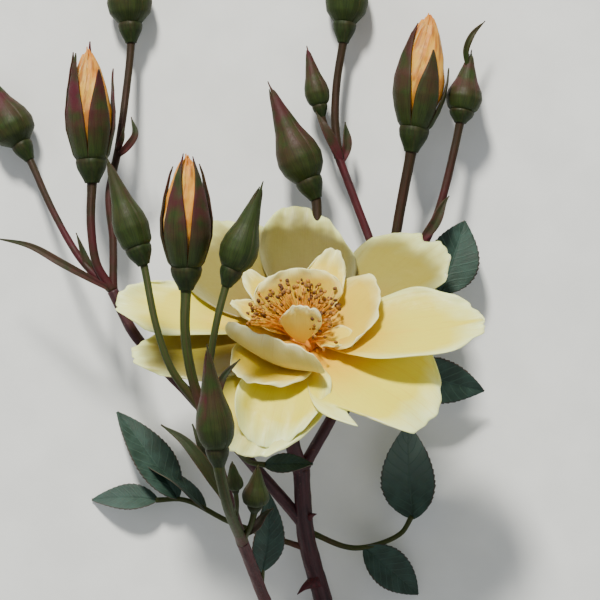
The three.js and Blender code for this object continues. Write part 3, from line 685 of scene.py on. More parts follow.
@dataclass(frozen=True)
class GreenFinish:
    """Hips, stalks, sepals and bracts: green with a red-purple flush that comes and goes.

    Attributes:
        name: The finish's name.
        green: The main green.
        deep: A darker green in streaks.
        flush: The red-purple flush.
        flush_from: Share along the piece where the flush starts.
        flush_to: Share where it is full; below the start where it fades upward.
        flush_most: How much of it shows at most.
        sheen: Its roughness.
    """

    name: str
    green: Colour = (0.052, 0.088, 0.020)
    deep: Colour = (0.020, 0.038, 0.012)
    flush: Colour = (0.100, 0.014, 0.026)
    flush_from: float = 0.4
    flush_to: float = 1.0
    flush_most: float = 0.6
    sheen: float = 0.46

    def build(self) -> Material:
        """The finish as a material."""
        recipe = Recipe(self.name)
        run, cross = recipe.chart()
        streaks = recipe.streaks(3.0, 22.0)
        broad = recipe.noise(220.0)
        fine = recipe.noise(2300.0)
        colour = recipe.stain(self.green, self.deep, streaks, 0.38, 0.66, 0.75)
        spread = recipe.ease(run, self.flush_from, self.flush_to)
        patchy = recipe.times(spread, recipe.ease(broad, 0.3, 0.62))
        own = recipe.ease(recipe.tint(), 0.0, 1.0, 0.1)
        share = recipe.times(recipe.times(patchy, own), self.flush_most)
        colour = recipe.mix(share, colour, self.flush)
        colour = recipe.stain(colour, self.deep, fine, 0.55, 0.8, 0.25)
        rim = recipe.from_middle(cross)
        colour = recipe.stain(colour, self.flush, rim, 0.44, 0.5, 0.25 * self.flush_most)
        gloss = recipe.ease(fine, 0.3, 0.7, self.sheen - 0.06, self.sheen + 0.1)
        recipe.bumps((streaks, 0.45, 0.14), (fine, 0.35, 0.05), (broad, 0.4, 0.3))
        return recipe.surface(
            colour, gloss, subsurface_weight=0.08, subsurface_scale=0.001, specular_ior_level=0.2
        )


@dataclass(frozen=True)
class BudPetalFinish:
    """The rolled petals of an opening bud: apricot, streaked with rose and cream, with painted shade in the
    creases.

    Attributes:
        name: The finish's name.
        apricot: The main colour.
        rose: The flush toward the tip.
        cream: The paler patches.
        crease_shade: Painted shade: the deeper apricot laid into the creases.
        pale: The rolled rims.
    """

    name: str
    apricot: Colour = (0.66, 0.25, 0.008)
    rose: Colour = (0.50, 0.085, 0.022)
    cream: Colour = (0.80, 0.46, 0.05)
    crease_shade: Colour = (0.36, 0.105, 0.003)
    pale: Colour = (0.92, 0.74, 0.34)

    def build(self) -> Material:
        """The finish as a material."""
        recipe = Recipe(self.name)
        run, cross = recipe.chart()
        veins = recipe.streaks(2.0, 30.0)
        creases = recipe.streaks(3.0, 9.0)
        broad = recipe.noise(260.0)
        crepe = recipe.noise(1100.0)
        colour = recipe.stain(self.apricot, self.cream, broad, 0.35, 0.65, 0.6)
        colour = recipe.stain(colour, self.rose, veins, 0.5, 0.7, 0.45)
        tip = recipe.times(recipe.ease(run, 0.75, 1.0, most=0.5), broad)
        colour = recipe.mix(tip, colour, self.rose)
        colour = recipe.stain(colour, self.pale, recipe.from_middle(cross), 0.44, 0.5, 0.9)
        # Painted shade: the creases are stained a deeper apricot.
        colour = recipe.stain(colour, self.crease_shade, creases, 0.52, 0.36, 0.8)
        satin = recipe.ease(crepe, 0.3, 0.7, 0.52, 0.66)
        recipe.bumps((creases, 0.7, 0.5), (veins, 0.5, 0.12), (crepe, 0.3, 0.05))
        return recipe.surface(colour, satin, subsurface_weight=0.15, subsurface_scale=0.001)


@dataclass(frozen=True)
class LeafFinish:
    """A leaf's face or underside, with a midrib and side veins, and a painted sky reflection on some
    leaflets.

    Attributes:
        name: The finish's name.
        dark: The blade between its veins.
        light: Its paler patches.
        vein: The colour of midrib and veins.
        edge: The flush at the toothed rim.
        sheen: Its roughness.
        pale: Painted reflection: the pale blue-grey gloss of the sky laid on some leaflets.
    """

    name: str
    dark: Colour = (0.014, 0.034, 0.022)
    light: Colour = (0.032, 0.066, 0.050)
    vein: Colour = (0.045, 0.088, 0.066)
    edge: Colour = (0.050, 0.020, 0.018)
    sheen: float = 0.6
    pale: Colour = (0.115, 0.165, 0.155)

    def build(self) -> Material:
        """The finish as a material."""
        recipe = Recipe(self.name)
        run, cross = recipe.chart()
        centred = recipe.from_middle(cross)
        broad = recipe.noise(260.0, 4.0)
        colour = recipe.stain(self.dark, self.light, broad, 0.35, 0.7)
        # Painted reflection: by its tint a leaflet is mixed toward a pale blue-grey that stands in for the
        # sky's gloss.
        bloom = recipe.times(recipe.tint(), recipe.ease(run, 0.1, 0.8))
        colour = recipe.mix(bloom, colour, self.pale)
        slanted = recipe.number("SUBTRACT", run, recipe.times(centred, 0.42))
        wander = recipe.number("MULTIPLY_ADD", recipe.from_half(broad), 0.05, slanted)
        wave = recipe.number("SINE", recipe.times(wander, 58.0))
        side_veins = recipe.ease(wave, 0.86, 1.0)
        midrib = recipe.ease(centred, 0.0, 0.022, 1.0, 0.0)
        all_veins = recipe.number("MAXIMUM", side_veins, midrib)
        colour = recipe.mix(recipe.times(all_veins, 0.55), colour, self.vein)
        colour = recipe.stain(colour, self.edge, centred, 0.455, 0.5, 0.7)
        place = recipe.node("ShaderNodeTexCoord").outputs["Object"]
        net = recipe.node(
            "ShaderNodeTexVoronoi", {"Scale": 1500.0, "Vector": place}, feature="DISTANCE_TO_EDGE"
        )
        cells = recipe.ease(net.outputs["Distance"], 0.0, 0.25)
        quilt = recipe.number("ABSOLUTE", wave)
        gloss = recipe.ease(broad, 0.3, 0.7, self.sheen - 0.05, self.sheen + 0.12)
        recipe.bumps((all_veins, 0.4, -0.15), (quilt, 0.1, -0.12), (cells, 0.3, 0.05))
        return recipe.surface(
            colour, gloss, subsurface_weight=0.05, subsurface_scale=0.0008, specular_ior_level=0.3
        )


@dataclass(frozen=True)
class ThreadFinish:
    """The stamens' threads: golden at the foot, orange above.

    Attributes:
        name: The finish's name.
        foot: Colour at the foot.
        top: Colour under the head.
    """

    name: str
    foot: Colour = (0.72, 0.17, 0.008)
    top: Colour = (0.78, 0.40, 0.025)

    def build(self) -> Material:
        """The finish as a material."""
        recipe = Recipe(self.name)
        run, _ = recipe.chart()
        grain = recipe.noise(1500.0, 2.0)
        colour = recipe.ramp(run, [(0.0, self.foot), (0.75, self.top)])
        colour = recipe.stain(colour, self.foot, grain, 0.4, 0.7, 0.4)
        recipe.bumps((grain, 0.3, 0.05))
        return recipe.surface(colour, 0.45, subsurface_weight=0.15, subsurface_scale=0.0006)


@dataclass(frozen=True)
class PollenFinish:
    """The stamens' heads: brown, dusted with ochre pollen.

    Attributes:
        name: The finish's name.
        brown: The head's own colour.
        dust: The pollen.
    """

    name: str
    brown: Colour = (0.090, 0.030, 0.006)
    dust: Colour = (0.46, 0.20, 0.022)

    def build(self) -> Material:
        """The finish as a material."""
        recipe = Recipe(self.name)
        grain = recipe.noise(2600.0)
        mixed = recipe.number("MULTIPLY_ADD", recipe.tint(), 0.5, grain)
        colour = recipe.stain(self.brown, self.dust, mixed, 0.55, 1.0)
        recipe.bumps((grain, 0.7, 0.12))
        return recipe.surface(colour, recipe.ease(grain, 0.3, 0.7, 0.6, 0.85))


@dataclass(frozen=True)
class CutFinish:
    """The flat cut of the main stem: pale wood with a pith and a green rim.

    Attributes:
        name: The finish's name.
        pith: The soft middle.
        wood: The ring round it.
        rim: The thin green ring under the bark.
    """

    name: str
    pith: Colour = (0.72, 0.66, 0.50)
    wood: Colour = (0.50, 0.46, 0.24)
    rim: Colour = (0.16, 0.24, 0.07)

    def build(self) -> Material:
        """The finish as a material."""
        recipe = Recipe(self.name)
        run, _ = recipe.chart()
        rays = recipe.streaks(2.0, 40.0)
        colour = recipe.ramp(run, [(0.25, self.pith), (0.4, self.wood), (0.82, self.wood), (0.95, self.rim)])
        colour = recipe.stain(colour, self.rim, rays, 0.45, 0.7, 0.4)
        recipe.bumps((rays, 0.5, 0.08))
        return recipe.surface(colour, 0.7)


@dataclass(frozen=True)
class FloorFinish:
    """A plain pale floor with the faintest grain.

    Attributes:
        name: The finish's name.
        pale: Its colour.
        shade: Its slightly darker grain.
    """

    name: str
    pale: Colour = (0.86, 0.87, 0.85)
    shade: Colour = (0.80, 0.81, 0.79)

    def build(self) -> Material:
        """The finish as a material."""
        recipe = Recipe(self.name)
        grain = recipe.noise(60.0, 4.0)
        colour = recipe.stain(self.pale, self.shade, grain, 0.3, 0.7)
        recipe.bumps((grain, 0.1, 0.2))
        return recipe.surface(colour, 0.8)


class Finish(Enum):
    """The finishes of the branch and the floor, each built once."""

    OUTER_FACE = PetalFinish("petal_face")
    OUTER_BACK = PetalFinish(
        "petal_back",
        foot=(0.44, 0.36, 0.02),
        low=(0.66, 0.54, 0.05),
        high=(0.80, 0.72, 0.16),
        rim=(0.93, 0.94, 0.48),
        shine=0.55,
    )
    INNER_FACE = PetalFinish(
        "inner_petal_face",
        foot=(0.86, 0.22, 0.002),
        low=(0.90, 0.46, 0.006),
        high=(0.92, 0.68, 0.05),
        rim=(0.97, 0.94, 0.42),
        deep=(0.55, 0.33, 0.012),
    )
    INNER_BACK = PetalFinish(
        "inner_petal_back",
        foot=(0.74, 0.46, 0.02),
        low=(0.80, 0.60, 0.06),
        high=(0.86, 0.74, 0.20),
        rim=(0.95, 0.92, 0.52),
        shine=0.55,
        deep=(0.36, 0.28, 0.06),
    )
    BARK = BarkFinish("stem_bark")
    RED_STEM = BarkFinish(
        "red_stem_bark", (0.018, 0.004, 0.004), (0.072, 0.006, 0.010), (0.13, 0.05, 0.03), 0.55
    )
    STALK = GreenFinish(
        "stalk_green",
        green=(0.042, 0.056, 0.010),
        deep=(0.020, 0.027, 0.007),
        flush_from=0.42,
        flush_to=0.02,
        flush_most=1.0,
        sheen=0.55,
    )
    RED_STALK = GreenFinish(
        "stalk_red",
        green=(0.030, 0.019, 0.006),
        deep=(0.014, 0.007, 0.004),
        flush=(0.060, 0.006, 0.011),
        flush_from=1.0,
        flush_to=0.4,
        flush_most=0.9,
        sheen=0.55,
    )
    HIP = GreenFinish("hip_green", (0.018, 0.033, 0.006), (0.009, 0.016, 0.004), flush_most=0.3, sheen=0.52)
    SEPAL = GreenFinish(
        "sepal_green",
        green=(0.028, 0.046, 0.008),
        deep=(0.011, 0.019, 0.004),
        flush=(0.070, 0.007, 0.016),
        flush_from=0.0,
        flush_to=0.6,
        flush_most=0.95,
        sheen=0.52,
    )
    BRACT = GreenFinish(
        "bract_green",
        green=(0.024, 0.038, 0.010),
        deep=(0.012, 0.016, 0.006),
        flush=(0.090, 0.012, 0.022),
        flush_from=1.2,
        flush_to=0.0,
        flush_most=0.95,
        sheen=0.55,
    )
    BUD_PETAL = BudPetalFinish("bud_petal_apricot")
    LEAF_FACE = LeafFinish("leaf_face")
    LEAF_BACK = LeafFinish(
        "leaf_back",
        dark=(0.045, 0.085, 0.055),
        light=(0.075, 0.125, 0.080),
        vein=(0.13, 0.18, 0.10),
        edge=(0.10, 0.06, 0.04),
        sheen=0.55,
    )
    THREAD = ThreadFinish("stamen_thread")
    POLLEN = PollenFinish("stamen_head")
    CUT = CutFinish("cut_wood")
    FLOOR = FloorFinish("pale_floor")

    @cache
    def material(self) -> Material:
        """The finish as a material, built when it is first asked for."""
        return self.value.build()


def as_piece(name: str, surface: Surface, *finishes: Finish) -> bpy.types.Object:
    """Makes a Blender object of a surface.

    Args:
        name: The piece's name.
        surface: Its surface, in mm in the picture's frame.
        *finishes: The finish of its face, and where it has another that of its back.

    Returns:
        The object, riding on the branch and pressed flat where it rests on the floor.
    """
    mesh = bpy.data.meshes.new(name)
    points = (surface.points + SHIFT) * METRE
    points[:, 2] = np.maximum(points[:, 2], RESTING_HEIGHT)
    mesh.from_pydata(points.tolist(), [], surface.faces.tolist())
    for finish in finishes:
        mesh.materials.append(finish.material())
    mesh.polygons.foreach_set("use_smooth", np.ones(len(surface.faces), dtype=bool))
    if len(finishes) > 1:
        mesh.polygons.foreach_set("material_index", surface.back.astype(np.int32))
    corners = np.empty(len(mesh.loops), dtype=np.int32)
    mesh.loops.foreach_get("vertex_index", corners)
    chart = mesh.uv_layers.new(name=CHART)
    chart.data.foreach_set("uv", surface.spots[corners].reshape(-1))
    tint = mesh.attributes.new("tint", "FLOAT", "POINT")
    tint.data.foreach_set("value", surface.tint.astype(np.float32))
    mesh.update()
    piece = bpy.data.objects.new(name, mesh)
    bpy.context.scene.collection.objects.link(piece)
    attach(piece, "root")
    LOG.info("%s: %d faces", name, len(surface.faces))
    return piece


# The stems

# Joints where stems, buds and bracts meet.
LEFT_JOINT = (113, 291, 25)
RIGHT_JOINT = (388, 300, 15)
TOP_JOINT = (339, 158, 9.5)
FRONT_BEND = (242, 541, 54)


@dataclass
class Stem:
    """One limb of the branch.

    Attributes:
        node: The solid that it stands for.
        path: Places along its middle.
        radii: Its radius in mm at evenly spaced stations.
        finish: Its bark.
    """

    node: str
    path: Sequence[Place]
    radii: Sequence[float]
    finish: Finish = Finish.BARK

    def build(self, seed: float) -> None:
        """Makes the limb with its low ridges.

        Args:
            seed: Sets where the ridges lie.
        """
        course = course_through(self.path)
        surface = limb(course, self.radii, 40, 0.45, relief=0.05, seed=seed, swell=0.06)
        piece = as_piece(self.node + "_bark", surface, self.finish)
        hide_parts(self.node)


def all_stems() -> list[Stem]:
    """Every stem of the branch, the main one first."""
    return [
        Stem(
            "main_stem",
            [(360, 745, 2.8), (338, 660, 3.6), (322, 596, 6), (306, 535, 11), (301, 468, 17)],
            [2.7, 2.6, 2.3, 2.2, 2.0],
        ),
        Stem(
            "bloom_stalk",
            [(301, 472, 16.6), (292, 440, 22), (294, 412, 27.5), (302, 372, 35)],
            [1.9, 1.8, 1.7, 1.6],
        ),
        Stem(
            "right_stem",
            [(302, 470, 17), (328, 424, 19), (355, 375, 18), RIGHT_JOINT],
            [1.5, 1.35, 1.3, 1.25],
        ),
        Stem(
            "top_stem",
            [RIGHT_JOINT, (375, 255, 13), (355, 200, 11), TOP_JOINT],
            [1.2, 1.05, 1.0, 1.0],
            Finish.RED_STEM,
        ),
        Stem(
            "left_stem",
            [(303, 523, 11.8), (240, 450, 20), (190, 395, 24), (135, 335, 26), LEFT_JOINT],
            [1.6, 1.4, 1.35, 1.3, 1.3],
        ),
        Stem(
            "front_stem_lower",
            [(345, 690, 5), (318, 665, 12), (285, 640, 22), (265, 600, 33), FRONT_BEND],
            [1.7, 1.6, 1.5, 1.4, 1.4],
            Finish.RED_STEM,
        ),
        Stem(
            "front_stem_upper",
            [FRONT_BEND, (228, 497, 62), (204, 413, 71)],
            [1.3, 1.2, 1.1],
            Finish.RED_STEM,
        ),
    ]


@dataclass
class Branchwork:
    """The stems, their prickles and the cut at the foot.

    Attributes:
        stems: The stems, the main one first.
        prickles: Foot, tip and radius in mm at the foot of each prickle.
        cut_rings: For each ring of the cut its radius, as a share of the stem's, and how far
            past the stem's end it lies, in mm.
    """

    stems: Sequence[Stem]
    prickles: Sequence[tuple[Place, Place, float]] = (
        ((317, 580, 8), (296, 592, 10), 2.1),
        ((330, 640, 5), (344, 628, 7), 1.8),
        ((306, 520, 12), (316, 512, 17), 1.5),
    )
    cut_rings: Sequence[tuple[float, float]] = ((0.02, 0.16), (0.5, 0.16), (0.9, 0.01), (0.86, -0.14))

    def build(self) -> None:
        """Makes every stem, the prickles and the cut."""
        for number, stem in enumerate(self.stems):
            stem.build(1.3 + number)
        self.build_prickles()
        self.build_cut()

    def build_prickles(self) -> None:
        """Makes the hooked prickles on the main stem."""
        parts = []
        for foot, tip, radius in self.prickles:
            start, end = PICTURE.place(foot), PICTURE.place(tip)
            hook = end - 0.35 * radius * across(unit(end - start), np.array([0.0, 1.0, 0.0]))
            course = Course([start, start + 0.6 * (end - start), hook])
            parts.append(limb(course, [radius, 0.62 * radius, 0.3 * radius, 0.1], 20, 0.2))
        piece = as_piece("prickles", merged(parts), Finish.RED_STEM)

    def build_cut(self) -> None:
        """Makes the pale flat cut at the main stem's foot."""
        main_stem = self.stems[0]
        course = course_through(main_stem.path)
        heading = course.heading(0.0)
        sizes, past_end = np.array(self.cut_rings).T
        centres = course.at(0.0) - heading * past_end[:, None]
        table = np.repeat(main_stem.radii[0] * sizes[:, None], 48, axis=1)
        disc = spun(centres, heading, UP, table)
        piece = as_piece("main_stem_cut", disc, Finish.CUT)


# The buds

# Profiles: pairs of share along the bud and radius, as a share of the hip's or the body's.
HIP_ROWS = (
    (0.0, 0.42), (0.03, 0.52), (0.065, 0.68), (0.105, 0.84), (0.15, 0.92), (0.178, 0.88), (0.195, 0.76)
)
BODY_ROWS = ((0.19, 0.5), (0.26, 0.85), (0.35, 0.96), (0.45, 0.86), (0.6, 0.52), (0.8, 0.25), (1.0, 0.05))
CONE_ROWS = ((0.22, 0.3), (0.3, 0.64), (0.4, 0.87), (0.52, 0.9), (0.68, 0.76), (0.84, 0.5), (1.0, 0.08))
CALYX_ROWS = ((0.22, 0.3), (0.3, 0.77), (0.4, 0.91), (0.52, 0.92), (0.68, 0.77), (0.84, 0.5), (1.0, 0.08))
# Shares along the bud at which its sepals and its petals start.
SEPAL_FOOT = 0.172
PETAL_FOOT = 0.22
ROLLED_PETALS = 5


@dataclass
class Bud:
    """A bud on its stalk.

    Attributes:
        node: The solid that stalk, hip and sepals stand for.
        stalk: Places along the stalk; the last is the foot of the hip.
        tip: Place of the bud's tip.
        hip: Radius of the hip in mm.
        body: Radius of the bud in mm.
        stalk_radii: Radius of the stalk at evenly spaced stations.
        reach: How far up the bud each sepal goes, as a share of its length.
        turned_by: Angle of the first sepal, in degrees.
        flare: How far the sepals' tips stand off, as a share of the body.
        opened: Whether the petals show between the sepals.
        flush: How red stalk and sepals are, 0 to 1.
        red_stalk: Whether the stalk is red-purple.
        leafy_tip: Places along the leafy end of the longest sepal, where it has one.
    """

    node: str
    stalk: Sequence[Place]
    tip: Place
    hip: float
    body: float
    stalk_radii: Sequence[float]
    reach: Sequence[float] = (1.03, 0.95, 1.0, 0.97, 0.93)
    turned_by: float = 12.0
    flare: float = 0.0
    opened: bool = False
    flush: float = 0.5
    red_stalk: bool = True
    leafy_tip: Sequence[Place] = ()

    def __post_init__(self) -> None:
        """Works out the line from hip to tip."""
        self.path = [PICTURE.place(spot) for spot in self.stalk]
        self.foot = self.path[-1]
        self.top = PICTURE.place(self.tip)
        self.heading = unit(self.top - self.foot)
        self.length = float(np.linalg.norm(self.top - self.foot))
        self.lead = across(self.heading, UP)
        self.side = np.cross(self.heading, self.lead)

    def point(self, share: Array, radius: Array, angle: Array) -> Array:
        """Points round the bud's line from share, radius and angle."""
        ring = self.lead * np.cos(angle)[..., None] + self.side * np.sin(angle)[..., None]
        return self.foot + self.heading * (share * self.length)[..., None] + ring * radius[..., None]

    def build_stalk(self, seed: float) -> None:
        """Makes the stalk and the hip."""
        course = Course([*self.path, self.foot + self.heading])
        stalk = limb(course, self.stalk_radii, 20, 0.6, relief=0.035, seed=seed, swell=0.12, tint=self.flush)
        finish = Finish.RED_STALK if self.red_stalk else Finish.STALK
        piece = as_piece(self.node + "_stalk", stalk, finish)
        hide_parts(self.node)
        rows = [(share, radius * self.hip) for share, radius in HIP_ROWS]
        hip = turned(self.foot, self.top, rows, 40, 30, wobble=0.012)
        piece = as_piece(self.node + "_hip", hip, Finish.HIP)
        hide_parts(self.node)

    def sepal(self, number: int, rows: Array, roll: np.random.Generator) -> Surface:
        """One sepal, wrapped round the bud, with a free drawn-out tip.

        Args:
            number: Which of the five it is.
            rows: The profile that it lies on.
            roll: Where its small irregularities come from.

        Returns:
            Its closed surface.
        """
        reach = self.reach[number]
        angle = math.radians(self.turned_by + 360 // SEPALS * number)
        # Half its width in radians, how far it closes in toward its tip and how late it narrows.
        foot_half, gather, end = (0.61, 0.2, 1.7) if self.opened else (0.78, 0.9, 9.0)
        lean = roll.uniform(-0.06, 0.06)
        lift = 0.35 + 0.12 * (number % 2)

        def shape(u: Array, v: Array) -> Array:
            share = SEPAL_FOOT + (reach - SEPAL_FOOT) * u
            radius = np.interp(share, rows[:, 0], rows[:, 1]) * self.body
            half = foot_half * (1 - u**end) + 0.03
            crease = 0.16 * (1 - np.abs(v)) ** 2 * (1 - u)
            rest = lift * (1 - gather * u**3)
            off = rest + self.flare * self.body * u**4 + crease + 0.12 * np.abs(v) * u
            swing = angle + v * half + lean * u + 0.02 * np.sin(9 * u + number)
            return self.point(share, radius + off, swing)

        tint = float(np.clip(self.flush + roll.uniform(-0.3, 0.3), 0, 1))
        return sheet(shape, 42, 14, 0.42, rim=0.5, tint=tint)

    def build_sepals(self, roll: np.random.Generator) -> None:
        """Makes the five sepals."""
        known = CALYX_ROWS if self.opened else BODY_ROWS
        low, high = (0.86 * self.hip - 0.6) / self.body, (0.97 * self.hip - 0.35) / self.body
        rows = np.array([(SEPAL_FOOT, low), (0.2, high), *known[1:]])
        parts = [self.sepal(number, rows, roll) for number in range(SEPALS)]
        if self.leafy_tip:
            parts.append(narrow_blade(self.leafy_tip, 0.95, 0.3))
        piece = as_piece(self.node + "_sepals", merged(parts), Finish.SEPAL)
        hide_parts(self.node)

    def build_petals(self, roll: np.random.Generator) -> None:
        """Makes the rolled petals, wrapped over one another round the bud's line."""
        # The profile, how much of it the petals fill and how far up the first of them goes.
        known, size, top = (CONE_ROWS, 1.0, 0.93) if self.opened else (BODY_ROWS, 0.82, 0.82)
        rows = np.array(known)
        parts = []
        for number in range(ROLLED_PETALS):
            start = math.radians(40 + GOLDEN_DEGREES * number)
            end = top + 0.016 * number + roll.uniform(-0.01, 0.01)
            depth = 0.08 + 0.15 * number

            def shape(
                u: Array, v: Array, start: float = start, end: float = end, depth: float = depth
            ) -> Array:
                share = PETAL_FOOT + (end - PETAL_FOOT) * (u - 0.04 * u * v**2)
                radius = np.interp(share, rows[:, 0], rows[:, 1]) * self.body * size
                spiral = 0.35 * (v + 1) / 2 - depth
                fold = (0.2 * np.sin(6 * v + 5 * u) + 0.13 * np.sin(15 * v - 8 * u + start)) * np.sqrt(u)
                mouth = 0.3 + 0.14 * np.sin(5 * v + start)
                turn = start + 1.7 * v + 0.9 * u
                return self.point(share, np.maximum(radius - 0.2 + spiral + fold, mouth), turn)

            parts.append(sheet(shape, 40, 30, 0.25, tint=roll.uniform(0, 1)))
        inside = [(share, radius * self.body * size * 0.86) for share, radius in known[:-1]]
        parts.append(turned(self.foot, self.top, inside, 30, 30))
        piece = as_piece(self.node + "_rolled_petals", merged(parts), Finish.BUD_PETAL)
        if self.opened:
            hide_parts(self.node + "_petals")

    def build(self, seed: int) -> None:
        """Makes the whole bud.

        Args:
            seed: Sets its small irregularities.
        """
        roll = np.random.default_rng(seed)
        self.build_stalk(seed * 0.7)
        self.build_petals(roll)
        self.build_sepals(roll)


def all_buds() -> list[Bud]:
    """Every bud of the branch."""
    return [
        Bud(
            "bud_left_edge",
            [LEFT_JOINT, (83, 262, 22), (55, 215, 15), (30, 160, 6.4)],
            (-22, 65, 4.1), 2.9, 5.2, [1.0, 0.85, 0.9], flush=1.0,
        ),
        Bud(
            "bud_left_opening",
            [LEFT_JOINT, (97, 265, 25), (91, 225, 24), (92, 183, 22)],
            (88, 47, 22), 4.2, 5.9, [1.1, 1.05, 1.15],
            (0.82, 0.84, 1.05, 0.97, 0.95), 30, 0.45, opened=True, flush=0.8,
        ),
        Bud(
            "bud_left_top",
            [LEFT_JOINT, (113, 240, 22), (109, 195, 19), (118, 150, 15), (127, 85, 9), (131, 43, 6.1)],
            (126, -72, 4.2), 3.3, 5.2, [1.0, 0.95, 0.95, 0.95, 0.95],
        ),
        Bud(
            "bud_front_pointed",
            [(203, 411, 71), (172, 370, 73), (156, 325, 73), (144, 265, 70)],
            (107, 159, 70), 3.3, 3.6, [1.0, 0.8, 0.85], flush=0.2, red_stalk=False,
        ),
        Bud(
            "bud_front_opening",
            [(203, 413, 71), (190, 368, 74), (185, 330, 75), (186, 290, 74)],
            (187, 153, 78), 3.9, 5.7, [1.2, 1.1, 1.15],
            (0.98, 0.92, 0.86, 0.9, 1.0), 43, 0.15, opened=True, flush=0.55, red_stalk=False,
        ),
        Bud(
            "bud_front_dark",
            [(204, 412, 71), (209, 368, 76), (216, 325, 78), (226, 286, 76)],
            (262, 184, 78), 2.9, 3.9, [0.9, 0.8, 0.85], flush=0.1, red_stalk=False,
        ),
        Bud(
            "bud_front_near",
            [FRONT_BEND, (228, 507, 74), (219, 468, 83)],
            (207, 347, 90), 2.9, 3.8, [1.3, 1.2, 1.2], flush=0.6, red_stalk=False,
        ),
        Bud(
            "bud_front_small",
            [(243, 538, 55), (250, 527, 59), (254, 513, 62)],
            (258, 466, 66), 1.9, 2.6, [0.8, 0.7, 0.7], flush=0.2, red_stalk=False,
        ),
        Bud(
            "bud_front_tiny",
            [(235, 517, 60), (237, 505, 65), (236, 495, 66)],
            (232, 462, 69), 1.0, 1.3, [0.7, 0.5, 0.5], flush=0.2, red_stalk=False,
        ),
        Bud(
            "bud_top",
            [TOP_JOINT, (335, 120, 8), (337, 80, 6.4), (343, 43, 5.6)],
            (353, -75, 4.1), 3.2, 4.9, [1.1, 1.0, 1.0], flush=0.2,
        ),
        Bud(
            "bud_top_small",
            [(340, 160, 9.5), (330, 140, 9.6), (322, 117, 9)],
            (307, 48, 8), 2.1, 2.5, [0.9, 0.8, 0.8], flush=0.7,
        ),
        Bud(
            "bud_back_closed",
            [(342, 398, 18.5), (325, 320, 17), (318, 240, 14), (316, 199, 12)],
            (269, 85, 12), 3.7, 5.2, [1.2, 1.1, 1.2],
        ),
        Bud(
            "bud_right_opening",
            [RIGHT_JOINT, (396, 235, 15), (411, 152, 14)],
            (430, 11, 14), 4.1, 6.5, [1.3, 1.25, 1.3],
            (0.72, 0.62, 0.85, 0.85, 0.9), 20, 0.1, opened=True, flush=0.35,
        ),
        Bud(
            "bud_right_closed",
            [RIGHT_JOINT, (412, 265, 15), (437, 215, 14), (460, 123, 11)],
            (471, 52, 9), 3.4, 4.0, [1.1, 1.0, 1.0], flush=0.9,
            leafy_tip=[(467, 66, 10.4), (466, 50, 11), (472, 35, 11), (485, 21, 9.6)],
        ),
    ]


# The bloom


@dataclass(frozen=True)
class BloomFrame:
    """Where the open bloom sits and how far it is tipped back."""

    middle: tuple[float, float, float] = (1.0, -9.6, 42.0)
    tilt: float = math.radians(50)

    def point(self, right: Array | float, back: Array | float, out: Array | float) -> Array:
        """Points in mm from places in the bloom's own frame."""
        rise, run = math.sin(self.tilt), math.cos(self.tilt)
        x = self.middle[0] + right
        y = self.middle[1] + back * run + out * rise
        z = self.middle[2] - back * rise + out * run
        return np.stack([x, y, z], axis=-1)


BLOOM = BloomFrame()
# Shares of a petal's length at which its frill, its rolled rim and a lifted stretch start.
FRILL_FROM, ROLL_FROM, FLAP_FROM = 0.72, 0.86, 0.8


def beside(station: Sequence[Array], sideways: Array, raised: Array) -> Array:
    """Points beside the middle line of a petal.

    Args:
        station: Right, back, out, slope and azimuth of the line at each point.
        sideways: How far to the side each point is, in mm.
        raised: How far up square to the petal, in mm.

    Returns:
        The points in mm.
    """
    right, back, out, lift, aim = station
    inward = -np.sin(lift) * raised
    return BLOOM.point(
        right - sideways * np.sin(aim) + inward * np.cos(aim),
        back + sideways * np.cos(aim) + inward * np.sin(aim),
        out + np.cos(lift) * raised,
    )


